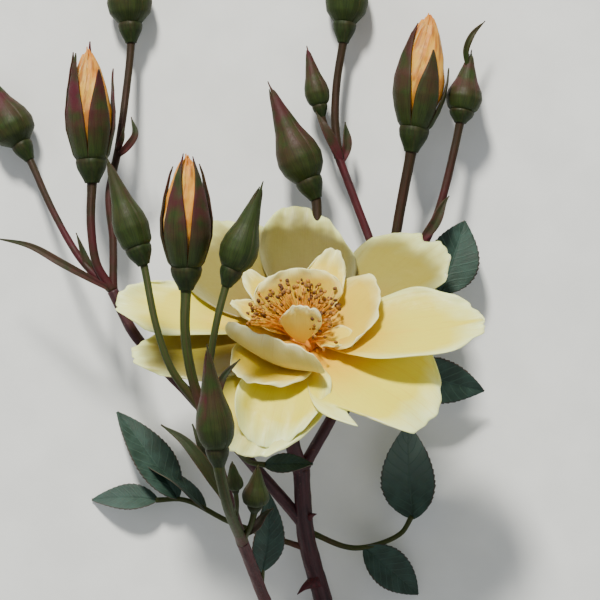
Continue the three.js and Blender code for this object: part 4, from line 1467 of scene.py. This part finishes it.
@dataclass
class Petal:
    """One petal of the open bloom.

    Attributes:
        node: The solid that it stands for.
        azimuth: Where it points, in degrees from the bloom's right.
        length: Its length in mm.
        half: Half its greatest width in mm.
        lifts: Its slope in degrees at evenly spaced stations.
        out: How far out along the bloom's axis it starts.
        foot: How far from the axis it starts.
        swing: How far it turns sideways, in degrees.
        cup: How much its sides rise, in radians.
        round: How far its corners fall back, as a share of its length.
        notch: Depth, place across and width of the dent in its edge, as shares.
        point: Length of the small point at its tip, as a share of the petal's.
        slant: How much shorter its left side is, as a share of its length.
        ripple: Height in mm of the waves along its edge.
        roll: How far its rim turns back, in mm.
        inner: Whether it is one of the small inner petals.
        widest: Where along it it is widest.
        waist: How late it widens.
        depth: How much painted shade its colour takes, with a little of its own deeper tone, 0 to 1.
        tip_over: How far its right side is raised over its left, in mm.
        flap: Place across, width and height in mm of a lifted stretch of the rim.
    """

    node: str
    azimuth: float
    length: float
    half: float
    lifts: Sequence[float]
    out: float
    foot: float = 3.2
    swing: float = 0.0
    cup: float = 0.3
    round: float = 0.3
    notch: tuple[float, float, float] | None = None
    point: float = 0.0
    slant: float = 0.0
    ripple: float = 0.0
    roll: float = 0.0
    inner: bool = False
    widest: float = 0.7
    waist: float = 1.15
    depth: float = 0.1
    tip_over: float = 0.0
    flap: tuple[float, float, float] | None = None

    def spine(self) -> tuple[Array, Array]:
        """The petal's middle line.

        Returns:
            Shares of the length, and for each one right, back, out, slope and azimuth.
        """
        stations = 24
        step = self.length / stations
        shares = np.linspace(0, 1, stations + 1)
        aim = np.radians(self.azimuth + self.swing * shares**1.5)
        lift = np.radians(along(self.lifts, shares))
        level = step * np.cos(lift)
        runs = [level * np.cos(aim), level * np.sin(aim), step * np.sin(lift)]
        first = [self.foot * math.cos(aim[0]), self.foot * math.sin(aim[0]), self.out]
        pairs = zip(first, runs, strict=True)
        lines = [np.concatenate([[start], start + np.cumsum(run)[:-1]]) for start, run in pairs]
        return shares, np.stack([*lines, lift, aim])

    def width(self, u: Array) -> Array:
        """Half the petal's width in mm along it."""
        widest, end, foot = self.widest, 0.84, 0.12
        rise = np.sin(math.pi / 2 * np.clip(u / widest, 0, 1)) ** self.waist
        beyond = np.clip((u - widest) / (1 - widest), 0, 1)
        share = np.where(u > widest, 1 + (end - 1) * beyond**2, foot + (1 - foot) * rise)
        return np.maximum(self.half * share, 1.3 if self.inner else 2.0)

    def end_line(self, v: Array) -> Array:
        """Where the petal ends on each line across it, as a share of its length."""
        end = 1 - self.round * np.abs(v) ** 2.4 - self.slant * v
        if self.notch:
            depth, place, width = self.notch
            end = end - depth * np.exp(-(((v - place) / width) ** 2))
        end = end + self.point * np.exp(-(((v + 0.04) / 0.05) ** 2))
        wave = 0.009 * np.sin(11 * v + self.azimuth) + 0.006 * np.sin(23 * v + 2 * self.azimuth)
        return end + wave * (1 - np.abs(v) ** 6)

    def shape(self, u: Array, v: Array) -> Array:
        """Points of the petal's middle surface."""
        shares, lines = self.spine()
        share = u * self.end_line(v)
        right, back, out, lift, aim = (np.interp(share, shares, line) for line in lines)
        bend = np.maximum(self.cup * (0.35 + 0.65 * np.sin(math.pi * np.minimum(1, share))), 1e-3)
        width = self.width(u)
        sideways = width * np.sin(v * bend) / bend
        seed = 2 * self.half
        raised = width * (1 - np.cos(v * bend)) / bend + self.ripple * u**2 * np.sin(7 * v + seed)
        edge = past(FRILL_FROM, np.maximum(u, np.abs(v) * smooth(2 * u)))
        frill = np.sin(9 * v + 13 * u + self.azimuth) + 0.6 * np.sin(17 * v - 11 * u + seed)
        raised = raised + 0.28 * frill * edge + 0.25 * np.sin(5 * v + 4 * u + seed) * u
        raised = raised - self.roll * past(ROLL_FROM, u) ** 2 - self.tip_over * v * u
        if self.flap:
            place, width, height = self.flap
            raised = raised + height * past(FLAP_FROM, u) ** 2 * np.exp(-(((v - place) / width) ** 2))
        return beside([right, back, out, lift, aim], sideways, raised)

    def build(self) -> None:
        """Makes the petal, its face and back in their own finishes."""
        rows, columns = (44, 34) if self.inner else (64, 52)
        surface = sheet(self.shape, rows, columns, 0.36, rim=0.45, tint=self.depth)
        if self.inner:
            finishes = (Finish.INNER_FACE, Finish.INNER_BACK)
        else:
            finishes = (Finish.OUTER_FACE, Finish.OUTER_BACK)
        piece = as_piece(self.node + "_blade", surface, *finishes)
        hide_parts(self.node)


def inner_petal(
    name: str, azimuth: float, length: float, half: float, lifts: Sequence[float], **rest: float
) -> Petal:
    """An inner petal; its start and cup are as on most of them unless it says otherwise."""
    usual = {"out": 1.4, "foot": 2.8, "cup": 0.6}
    return Petal("petal_inner_" + name, azimuth, length, half, lifts, inner=True, **(usual | rest))


def all_petals() -> list[Petal]:
    """Every petal of the open bloom."""
    return [
        Petal(
            "petal_right", -12, 40, 12.5, [20, 14, 10, 4], 0.4,
            swing=25, cup=0.4, round=0.22, point=0.17, depth=0.12,
        ),
        Petal(
            "petal_upper_right", 46, 44, 12, [14, 8, 4, 0], -1.6,
            cup=0.12, round=0.2, notch=(0.05, 0.1, 0.2), widest=0.95, waist=1.5, depth=0.75,
        ),
        Petal(
            "petal_top", 88, 40.5, 12.2, [12, 2, 2, 12], 1.2,
            cup=0.4, round=0.24, slant=-0.12, depth=0.95, flap=(0.35, 0.3, 1.6),
        ),
        Petal(
            "petal_upper_left", 124, 43, 15, [12, 4, 2, 2], 0.3,
            cup=0.12, round=0.2, slant=0.07, depth=0.85, tip_over=-1.0,
        ),
        Petal(
            "petal_left", 166, 43, 10, [12, 4, 2, 2], -0.6,
            round=0.26, widest=0.92, waist=2.8, flap=(-0.45, 0.4, 2.2),
        ),
        Petal("petal_left_under", 186, 37.5, 11, [2, 2, 0, 0], -1.6, cup=0.1, depth=0.8),
        Petal("petal_bottom_under", 246, 33, 13.5, [0, -4, -12, -20], -1.6, cup=0.1, round=0.25, depth=0.3),
        Petal(
            "petal_bottom", 256, 30.5, 10.8, [4, 0, -16, -38], 0,
            round=0.26, slant=0.07, ripple=0.8, depth=0.0,
        ),
        Petal(
            "petal_lower_right", 320, 35.5, 18.2, [8, 2, -6, -24], -0.6,
            cup=0.15, notch=(0.31, -0.81, 0.15), slant=0.08, ripple=0.6, depth=0.0,
        ),
        inner_petal("front", 240, 22, 13.5, [2, 2, 40, 88, 95], cup=0.35, round=0.04, depth=0.55),
        inner_petal("under", 236, 21.5, 10.4, [2, 8, 16, 26], out=0.6, foot=3.0, cup=0.4, depth=0.3),
        inner_petal("right", 9, 18.5, 11.4, [10, 25, 40, 52], cup=0.5, round=0.25, slant=-0.2, depth=0.45),
        inner_petal("top", 68, 20.5, 5.6, [30, 34, 36, 46], ripple=0.5),
        inner_petal("back", 104, 14.5, 12, [36, 44, 56, 70], cup=0.8, round=0.2, ripple=0.4, depth=0.6),
        inner_petal("left", 138, 19, 4.5, [25, 28, 32, 40], round=0.35, depth=0.0),
        inner_petal("left_low", 166, 16.5, 4, [22, 24, 26, 30], round=0.35, depth=0.3),
        Petal(
            "petal_centre", 250, 12.5, 5.6, [76, 82, 88, 92], 1.8, 2.8,
            cup=0.5, slant=-0.2, inner=True, depth=0.0,
        ),
        Petal("petal_lip", 335, 11, 4.5, [20, 20, 16, 8], 1.4, 2.8, cup=0.5, inner=True),
    ]


@dataclass
class FoldedSepal:
    """A sepal folded back under the bloom; it narrows to its tip.

    Attributes:
        azimuth: Where it points, in degrees from the bloom's right.
        half: Half its greatest width in mm.
        tip: Half its width at the tip, in mm.
        widest: Where along it it is widest.
    """

    azimuth: float
    half: float = 2.6
    tip: float = 0.35
    widest: float = 0.3

    def shape(self, u: Array, v: Array) -> Array:
        """Points of its middle surface."""
        line = Petal("line", self.azimuth, 18, self.half, [-12, -34, -62, -76], -2.4, 2.2)
        shares, lines = line.spine()
        station = [np.interp(u, shares, row) for row in lines]
        rise = 0.5 + 0.5 * np.minimum(1, u / self.widest)
        fall = np.maximum(0, u - self.widest) / (1 - self.widest)
        width = self.half * rise * (1 - fall) + self.tip * fall
        keel = 0.22 * np.abs(v) * width + 0.12 * np.sin(12 * u + self.azimuth) * v
        return beside(station, v * width, keel)


@dataclass
class BloomHeart:
    """The stamens and pistils, and the hip and sepals under the bloom.

    Attributes:
        threads: How many stamens there would be without the gaps.
        reach: How far the outermost lean from the axis, in mm.
        height: Height of the tallest, in mm.
        lean: How far their heads stand to the bloom's right, in mm.
        gaps: Directions in degrees in which a petal stands close, how near to the direction
            a thread meets it, as a cosine, and the reach in mm from which it does.
    """

    threads: int = 380
    reach: float = 12.0
    height: float = 13.0
    lean: float = -2.0
    gaps: Sequence[tuple[float, float, float]] = ((250, 0.6, 2.3), (345, 0.82, 9.0))

    def meets_petal(self, angle: float, reach: float) -> bool:
        """Whether a thread at an angle, with a reach in mm, would meet a petal."""
        return any(
            reach > limit and math.cos(angle - math.radians(aim)) > nearness
            for aim, nearness, limit in self.gaps
        )

    def build_stamens(self) -> None:
        """Makes threads and heads, and the knot of pistils between them."""
        roll = np.random.default_rng(17)
        threads, heads = [], []
        for number in range(self.threads):
            angle = number * math.radians(GOLDEN_DEGREES)
            spread = math.sqrt((number + 0.5) / self.threads)
            reach = self.reach * (0.2 + 0.8 * spread) * roll.uniform(0.86, 1.06)
            height = self.height * (1 - 0.3 * spread) * roll.uniform(0.6, 1.08)
            foot = 0.5 + 1.7 * spread
            drift = angle + roll.uniform(-0.25, 0.25)
            if self.meets_petal(angle, reach):
                continue
            spots = [
                (foot, 0.6, angle, 0.0),
                (0.6 * foot + 0.35 * reach, 0.62 * height, angle, 0.4),
                (reach, height, drift, 1.0),
            ]
            points = [
                BLOOM.point(r * math.cos(a) + self.lean * part, r * math.sin(a), h) for r, h, a, part in spots
            ]
            course = Course(points, 12)
            threads.append(limb(course, [0.16, 0.12, 0.1], 6, 1.2, tint=roll.uniform()))
            heads.append(self.head(points[-1], course.heading(1.0), roll))
        rows = [(0.0, 3.4), (0.2, 3.7), (0.34, 3.4), (0.5, 2.5), (0.72, 1.7), (1.0, 0.5)]
        boss = turned(BLOOM.point(0.0, 0.0, -0.9), BLOOM.point(0.0, 0.0, 3.6), rows, 30, 24, wobble=0.05)
        piece = as_piece("stamen_threads", merged([*threads, boss]), Finish.THREAD)
        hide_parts("stamens")
        piece = as_piece("stamen_heads", merged(heads), Finish.POLLEN)

    def head(self, top: Array, heading: Array, roll: np.random.Generator) -> Surface:
        """One stamen's head: two lobes side by side on the end of its thread.

        Args:
            top: The end of the thread.
            heading: The thread's direction there.
            roll: Where its tilt and size come from.

        Returns:
            Its closed surface.
        """
        size = roll.uniform(0.36, 0.54)
        tip = unit(heading + 0.7 * unit(roll.normal(size=3)))
        start = top - tip * size
        end = top + tip * size * 1.2
        shares = np.linspace(0, 1, 7)
        angle = np.linspace(0, 2 * math.pi, 10, endpoint=False)
        profile = np.sin(math.pi * (0.08 + 0.84 * shares)) ** 0.7
        lobes = 0.62 + 0.38 * np.abs(np.cos(angle))
        table = size * profile[:, None] * lobes[None, :]
        centres = start + (end - start) * shares[:, None]
        return spun(centres, tip, roll.normal(size=3), table, roll.uniform())

    def build_hip(self) -> None:
        """Makes the hip and the five sepals folded back under the bloom."""
        rows = [(0.04, 1.7), (0.14, 2.9), (0.36, 3.9), (0.58, 3.7), (0.72, 3.0), (0.81, 3.3), (0.86, 2.9)]
        hip = turned(BLOOM.point(0.0, 0.0, -10.0), BLOOM.point(0.0, 0.0, 0.0), rows, 48, 40, wobble=0.015)
        piece = as_piece("bloom_hip_body", hip, Finish.HIP)
        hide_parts("bloom_hip")
        parts = []
        for number in range(SEPALS):
            sepal = FoldedSepal(30 + 360 // SEPALS * number)
            parts.append(sheet(sepal.shape, 40, 12, 0.5, rim=0.5, tint=0.3 + 0.1 * number))
        piece = as_piece("bloom_sepals", merged(parts), Finish.SEPAL)
        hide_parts("bloom_hip")

    def build(self) -> None:
        """Makes the heart of the bloom and what is under it."""
        self.build_stamens()
        self.build_hip()


# The leaves and bracts

# Length in mm of a tooth of a leaflet's edge.
TOOTH_LENGTH = 1.35


@dataclass
class Blade:
    """One toothed leaflet.

    Attributes:
        start: Place of its foot.
        end: Place of its tip.
        half: Half its width in mm.
        up: The direction that its face looks in.
        bloom: How much of the painted pale sky reflection shows on it, 0 to 1.
    """

    start: Place
    end: Place
    half: float
    up: tuple[float, float, float]
    bloom: float = 0.0

    def surface(self, seed: float) -> Surface:
        """Its closed surface, with teeth along both sides."""
        foot, tip = PICTURE.place(self.start), PICTURE.place(self.end)
        axis = tip - foot
        length = float(np.linalg.norm(axis))
        heading = unit(axis)
        over = across(heading, np.array(self.up, dtype=float))
        side = np.cross(heading, over)
        teeth = max(9, round(length / TOOTH_LENGTH))

        def shape(u: Array, v: Array) -> Array:
            rim = past(0.8, np.abs(v))
            step = (u * teeth) % 1.0
            tooth = rim * (0.055 * step - 0.032)
            outline = np.sin(math.pi * u**0.82) ** 0.8 * (1 - 0.18 * u) * (1 + tooth)
            width = np.maximum(self.half * outline, 0.3)
            hang = 0.06 * length * np.sin(math.pi * u)
            curl = 0.25 * np.abs(v) * width
            quilt = 0.03 * np.sin(math.pi * (u - 0.4 * np.abs(v)) * 18) * np.abs(v) * (1 - np.abs(v)) * 4
            wave = 0.22 * np.sin(9 * u + seed + 2 * np.sign(v)) * v**2
            groove = -0.22 * np.exp(-((v / 0.07) ** 2)) * (1 - u)
            height = hang + curl + 0.25 * quilt + wave * np.minimum(1, self.half / 5) + groove
            forward = (u * length)[..., None] * heading
            return foot + forward + side * (v * width)[..., None] + over * height[..., None]

        return sheet(shape, 5 * teeth, 26, 0.34, rim=0.5, tint=self.bloom)


@dataclass
class Leaf:
    """A leaf: its thin stalk and its leaflets.

    Attributes:
        node: The solid that it stands for.
        stalk: Places along its stalk.
        blades: Its leaflets.
    """

    node: str
    stalk: Sequence[Place]
    blades: Sequence[Blade]

    def build(self, seed: float) -> None:
        """Makes stalk and leaflets.

        Args:
            seed: Sets their waves.
        """
        course = course_through(self.stalk)
        stalk = limb(course, [0.75, 0.6], 14, 0.6, relief=0.05, seed=seed, swell=0.15)
        piece = as_piece(self.node + "_stalk", stalk, Finish.STALK)
        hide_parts(self.node)
        parts = [blade.surface(seed + number) for number, blade in enumerate(self.blades)]
        piece = as_piece(self.node + "_blades", merged(parts), Finish.LEAF_BACK, Finish.LEAF_FACE)
        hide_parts(self.node)


def all_leaves() -> list[Leaf]:
    """Every leaf of the branch."""
    return [
        Leaf(
            "leaf_right_upper",
            [(389, 298, 14.5), (415, 300, 13), (440, 292, 11)],
            [Blade((440, 294, 11), (465, 221, 5.5), 7.2, (0.2, 0.1, 1))],
        ),
        Leaf(
            "leaf_right_lower",
            [(357, 377, 17.5), (380, 372, 15), (402, 366, 13)],
            [Blade((400, 366, 13), (484, 391, 7), 6.4, (0, -0.3, 1))],
        ),
        Leaf(
            "leaf_lower_right",
            [(305, 530, 10.5), (355, 548, 8), (400, 534, 7), (412, 516, 7.5)],
            [
                Blade((413, 519, 7.5), (408, 424, 7), 7.6, (-0.3, 0, 1), 0.75),
                Blade((364, 547, 8), (418, 594, 0.5), 5.4, (0, 0.2, 1)),
            ],
        ),
        Leaf(
            "leaf_lower_left",
            [(305, 548, 10.5), (230, 522, 8), (185, 500, 6), (156, 500, 5)],
            [
                Blade((158, 500, 5), (92, 500, 0.5), 3.9, (0, 0.6, 1), 0.2),
                Blade((178, 499, 6), (117, 412, 2.5), 5.6, (0.5, 0, 1)),
                Blade((206, 511, 7), (146, 465, 7), 4.6, (0.1, 0.95, 0.25)),
            ],
        ),
        Leaf(
            "leaf_front",
            [(268, 606, 32), (262, 590, 36), (262, 568, 39)],
            [Blade((262, 572, 39), (268, 492, 46), 4.6, (0.5, 0.2, 1))],
        ),
        Leaf(
            "leaf_small",
            [(233, 443, 22), (250, 462, 31), (266, 465, 33)],
            [Blade((264, 465, 33), (313, 464, 35), 2.7, (0, 0.4, 1))],
        ),
    ]


@dataclass
class Bracts:
    """The narrow pointed blades at one joint.

    Attributes:
        node: The solid that they stand for.
        blades: For each one the places along it and half its width in mm.
        flush: How red they are, 0 to 1.
    """

    node: str
    blades: Sequence[tuple[Sequence[Place], float]]
    flush: float = 0.8

    def build(self) -> None:
        """Makes the blades."""
        parts = [narrow_blade(path, half, self.flush + 0.1 * k) for k, (path, half) in enumerate(self.blades)]
        piece = as_piece(self.node + "_blades", merged(parts), Finish.BRACT)
        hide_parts(self.node)


def all_bracts() -> list[Bracts]:
    """Every group of bracts."""
    return [
        Bracts(
            "bracts_left",
            [
                ([(113, 291, 25.6), (63, 264, 27), (30, 246, 24), (-6, 238, 19)], 1.15),
                ([(112, 291, 24.4), (92, 272, 23), (76, 233, 22)], 1.3),
                ([(116, 157, 15.6), (127, 147, 17), (135, 134, 17.5), (131, 117, 16)], 1.1),
                ([(117, 152, 15.4), (122, 138, 17), (124, 126, 17)], 0.8),
            ],
            0.6,
        ),
        Bracts(
            "bracts_front",
            [
                ([(226, 500, 62), (200, 460, 64), (183, 440, 63), (161, 425, 60)], 1.8),
                ([(226, 503, 61), (208, 462, 60), (192, 424, 57)], 1.7),
            ],
            0.1,
        ),
        Bracts("bract_front_tall", [([(208, 425, 72), (216, 396, 76), (224, 376, 77), (240, 359, 75)], 1.3)]),
        Bracts(
            "bract_front_low",
            [([(246, 534, 56), (257, 524, 60), (264, 515, 62), (273, 508, 61)], 1.3)],
            0.5,
        ),
        Bracts(
            "bracts_top",
            [
                ([(341, 161, 10.2), (334, 146, 11.5), (325, 128, 12), (316, 112, 10)], 1.5),
                ([(342, 162, 8.8), (347, 145, 8.6), (345, 122, 8)], 1.4),
            ],
        ),
        Bracts("bract_right", [([(421, 241, 15), (434, 224, 15.6), (444, 203, 15), (449, 196, 14)], 1.6)]),
    ]


# The studio


@dataclass
class Studio:
    """Floor, lights and camera.

    Attributes:
        floor_size: Side of the floor in m.
        sensor: Width of the camera's sensor in mm.
        picture_width: Width of the picture in pixels.
    """

    floor_size: float = 6.0
    sensor: float = 36.0
    picture_width: float = 600.0

    def build(self) -> None:
        """Makes floor, lights and camera."""
        self.build_floor()
        self.build_lights()
        self.build_camera()

    def build_floor(self) -> None:
        """Makes the pale floor under the branch."""
        half = self.floor_size / 2
        mesh = bpy.data.meshes.new("floor")
        corners = [(-half, -half, 0.0), (half, -half, 0.0), (half, half, 0.0), (-half, half, 0.0)]
        mesh.from_pydata(corners, [], [(0, 1, 2, 3)])
        mesh.materials.append(Finish.FLOOR.material())
        floor = bpy.data.objects.new("floor", mesh)
        bpy.context.scene.collection.objects.link(floor)

    def light(self, name: str, spot: Place, power: float, size: float, colour: Colour) -> None:
        """Makes one soft lamp that faces the bloom.

        Args:
            name: The lamp's name.
            spot: Where it stands, in m.
            power: Its power in watts.
            size: Its side in m.
            colour: Its colour.
        """
        lamp = bpy.data.lights.new(name, "AREA")
        lamp.energy = power
        lamp.size = size
        lamp.color = colour
        stand = bpy.data.objects.new(name, lamp)
        stand.location = spot
        aim = Vector((0.01, 0.0, 0.03)) - Vector(spot)
        stand.rotation_euler = aim.to_track_quat("-Z", "Y").to_euler()
        bpy.context.scene.collection.objects.link(stand)

    def build_lights(self) -> None:
        """Makes the sun-side key, the soft fills and the pale surround."""
        self.light("key", (-0.30, 1.30, 1.18), 54.0, 0.25, (1.0, 0.98, 0.91))
        self.light("fill_left", (-0.8, -0.1, 0.6), 0.8, 0.7, (0.94, 0.97, 1.0))
        self.light("fill_front", (0.4, -0.7, 0.7), 1.9, 0.8, (0.98, 0.98, 1.0))
        world = bpy.data.worlds.new("surround")
        world.use_nodes = True
        background = world.node_tree.nodes["Background"]
        background.inputs["Color"].default_value = (0.80, 0.84, 0.88, 1.0)
        background.inputs["Strength"].default_value = 0.40
        bpy.context.scene.world = world

    def build_camera(self) -> None:
        """Makes the camera that looks straight down."""
        data = bpy.data.cameras.new("camera")
        data.sensor_width = self.sensor
        data.lens = self.sensor * PICTURE.focal_pixels / self.picture_width
        data.clip_start = 0.01
        data.clip_end = 20.0
        camera = bpy.data.objects.new("camera", data)
        camera.location = (np.array([0.0, 0.0, PICTURE.eye_height]) + SHIFT) * METRE
        bpy.context.scene.collection.objects.link(camera)
        bpy.context.scene.camera = camera


def main() -> None:
    """Builds the branch and its studio in order."""
    Branchwork(all_stems()).build()
    for number, bud in enumerate(all_buds()):
        bud.build(101 + number)
    for petal in all_petals():
        petal.build()
    BloomHeart().build()
    for number, leaf in enumerate(all_leaves()):
        leaf.build(0.9 * number)
    for bracts in all_bracts():
        bracts.build()
    Studio().build()


if __name__ == "__main__":
    logging.basicConfig(level=logging.INFO, format="%(name)s %(message)s")
    main()
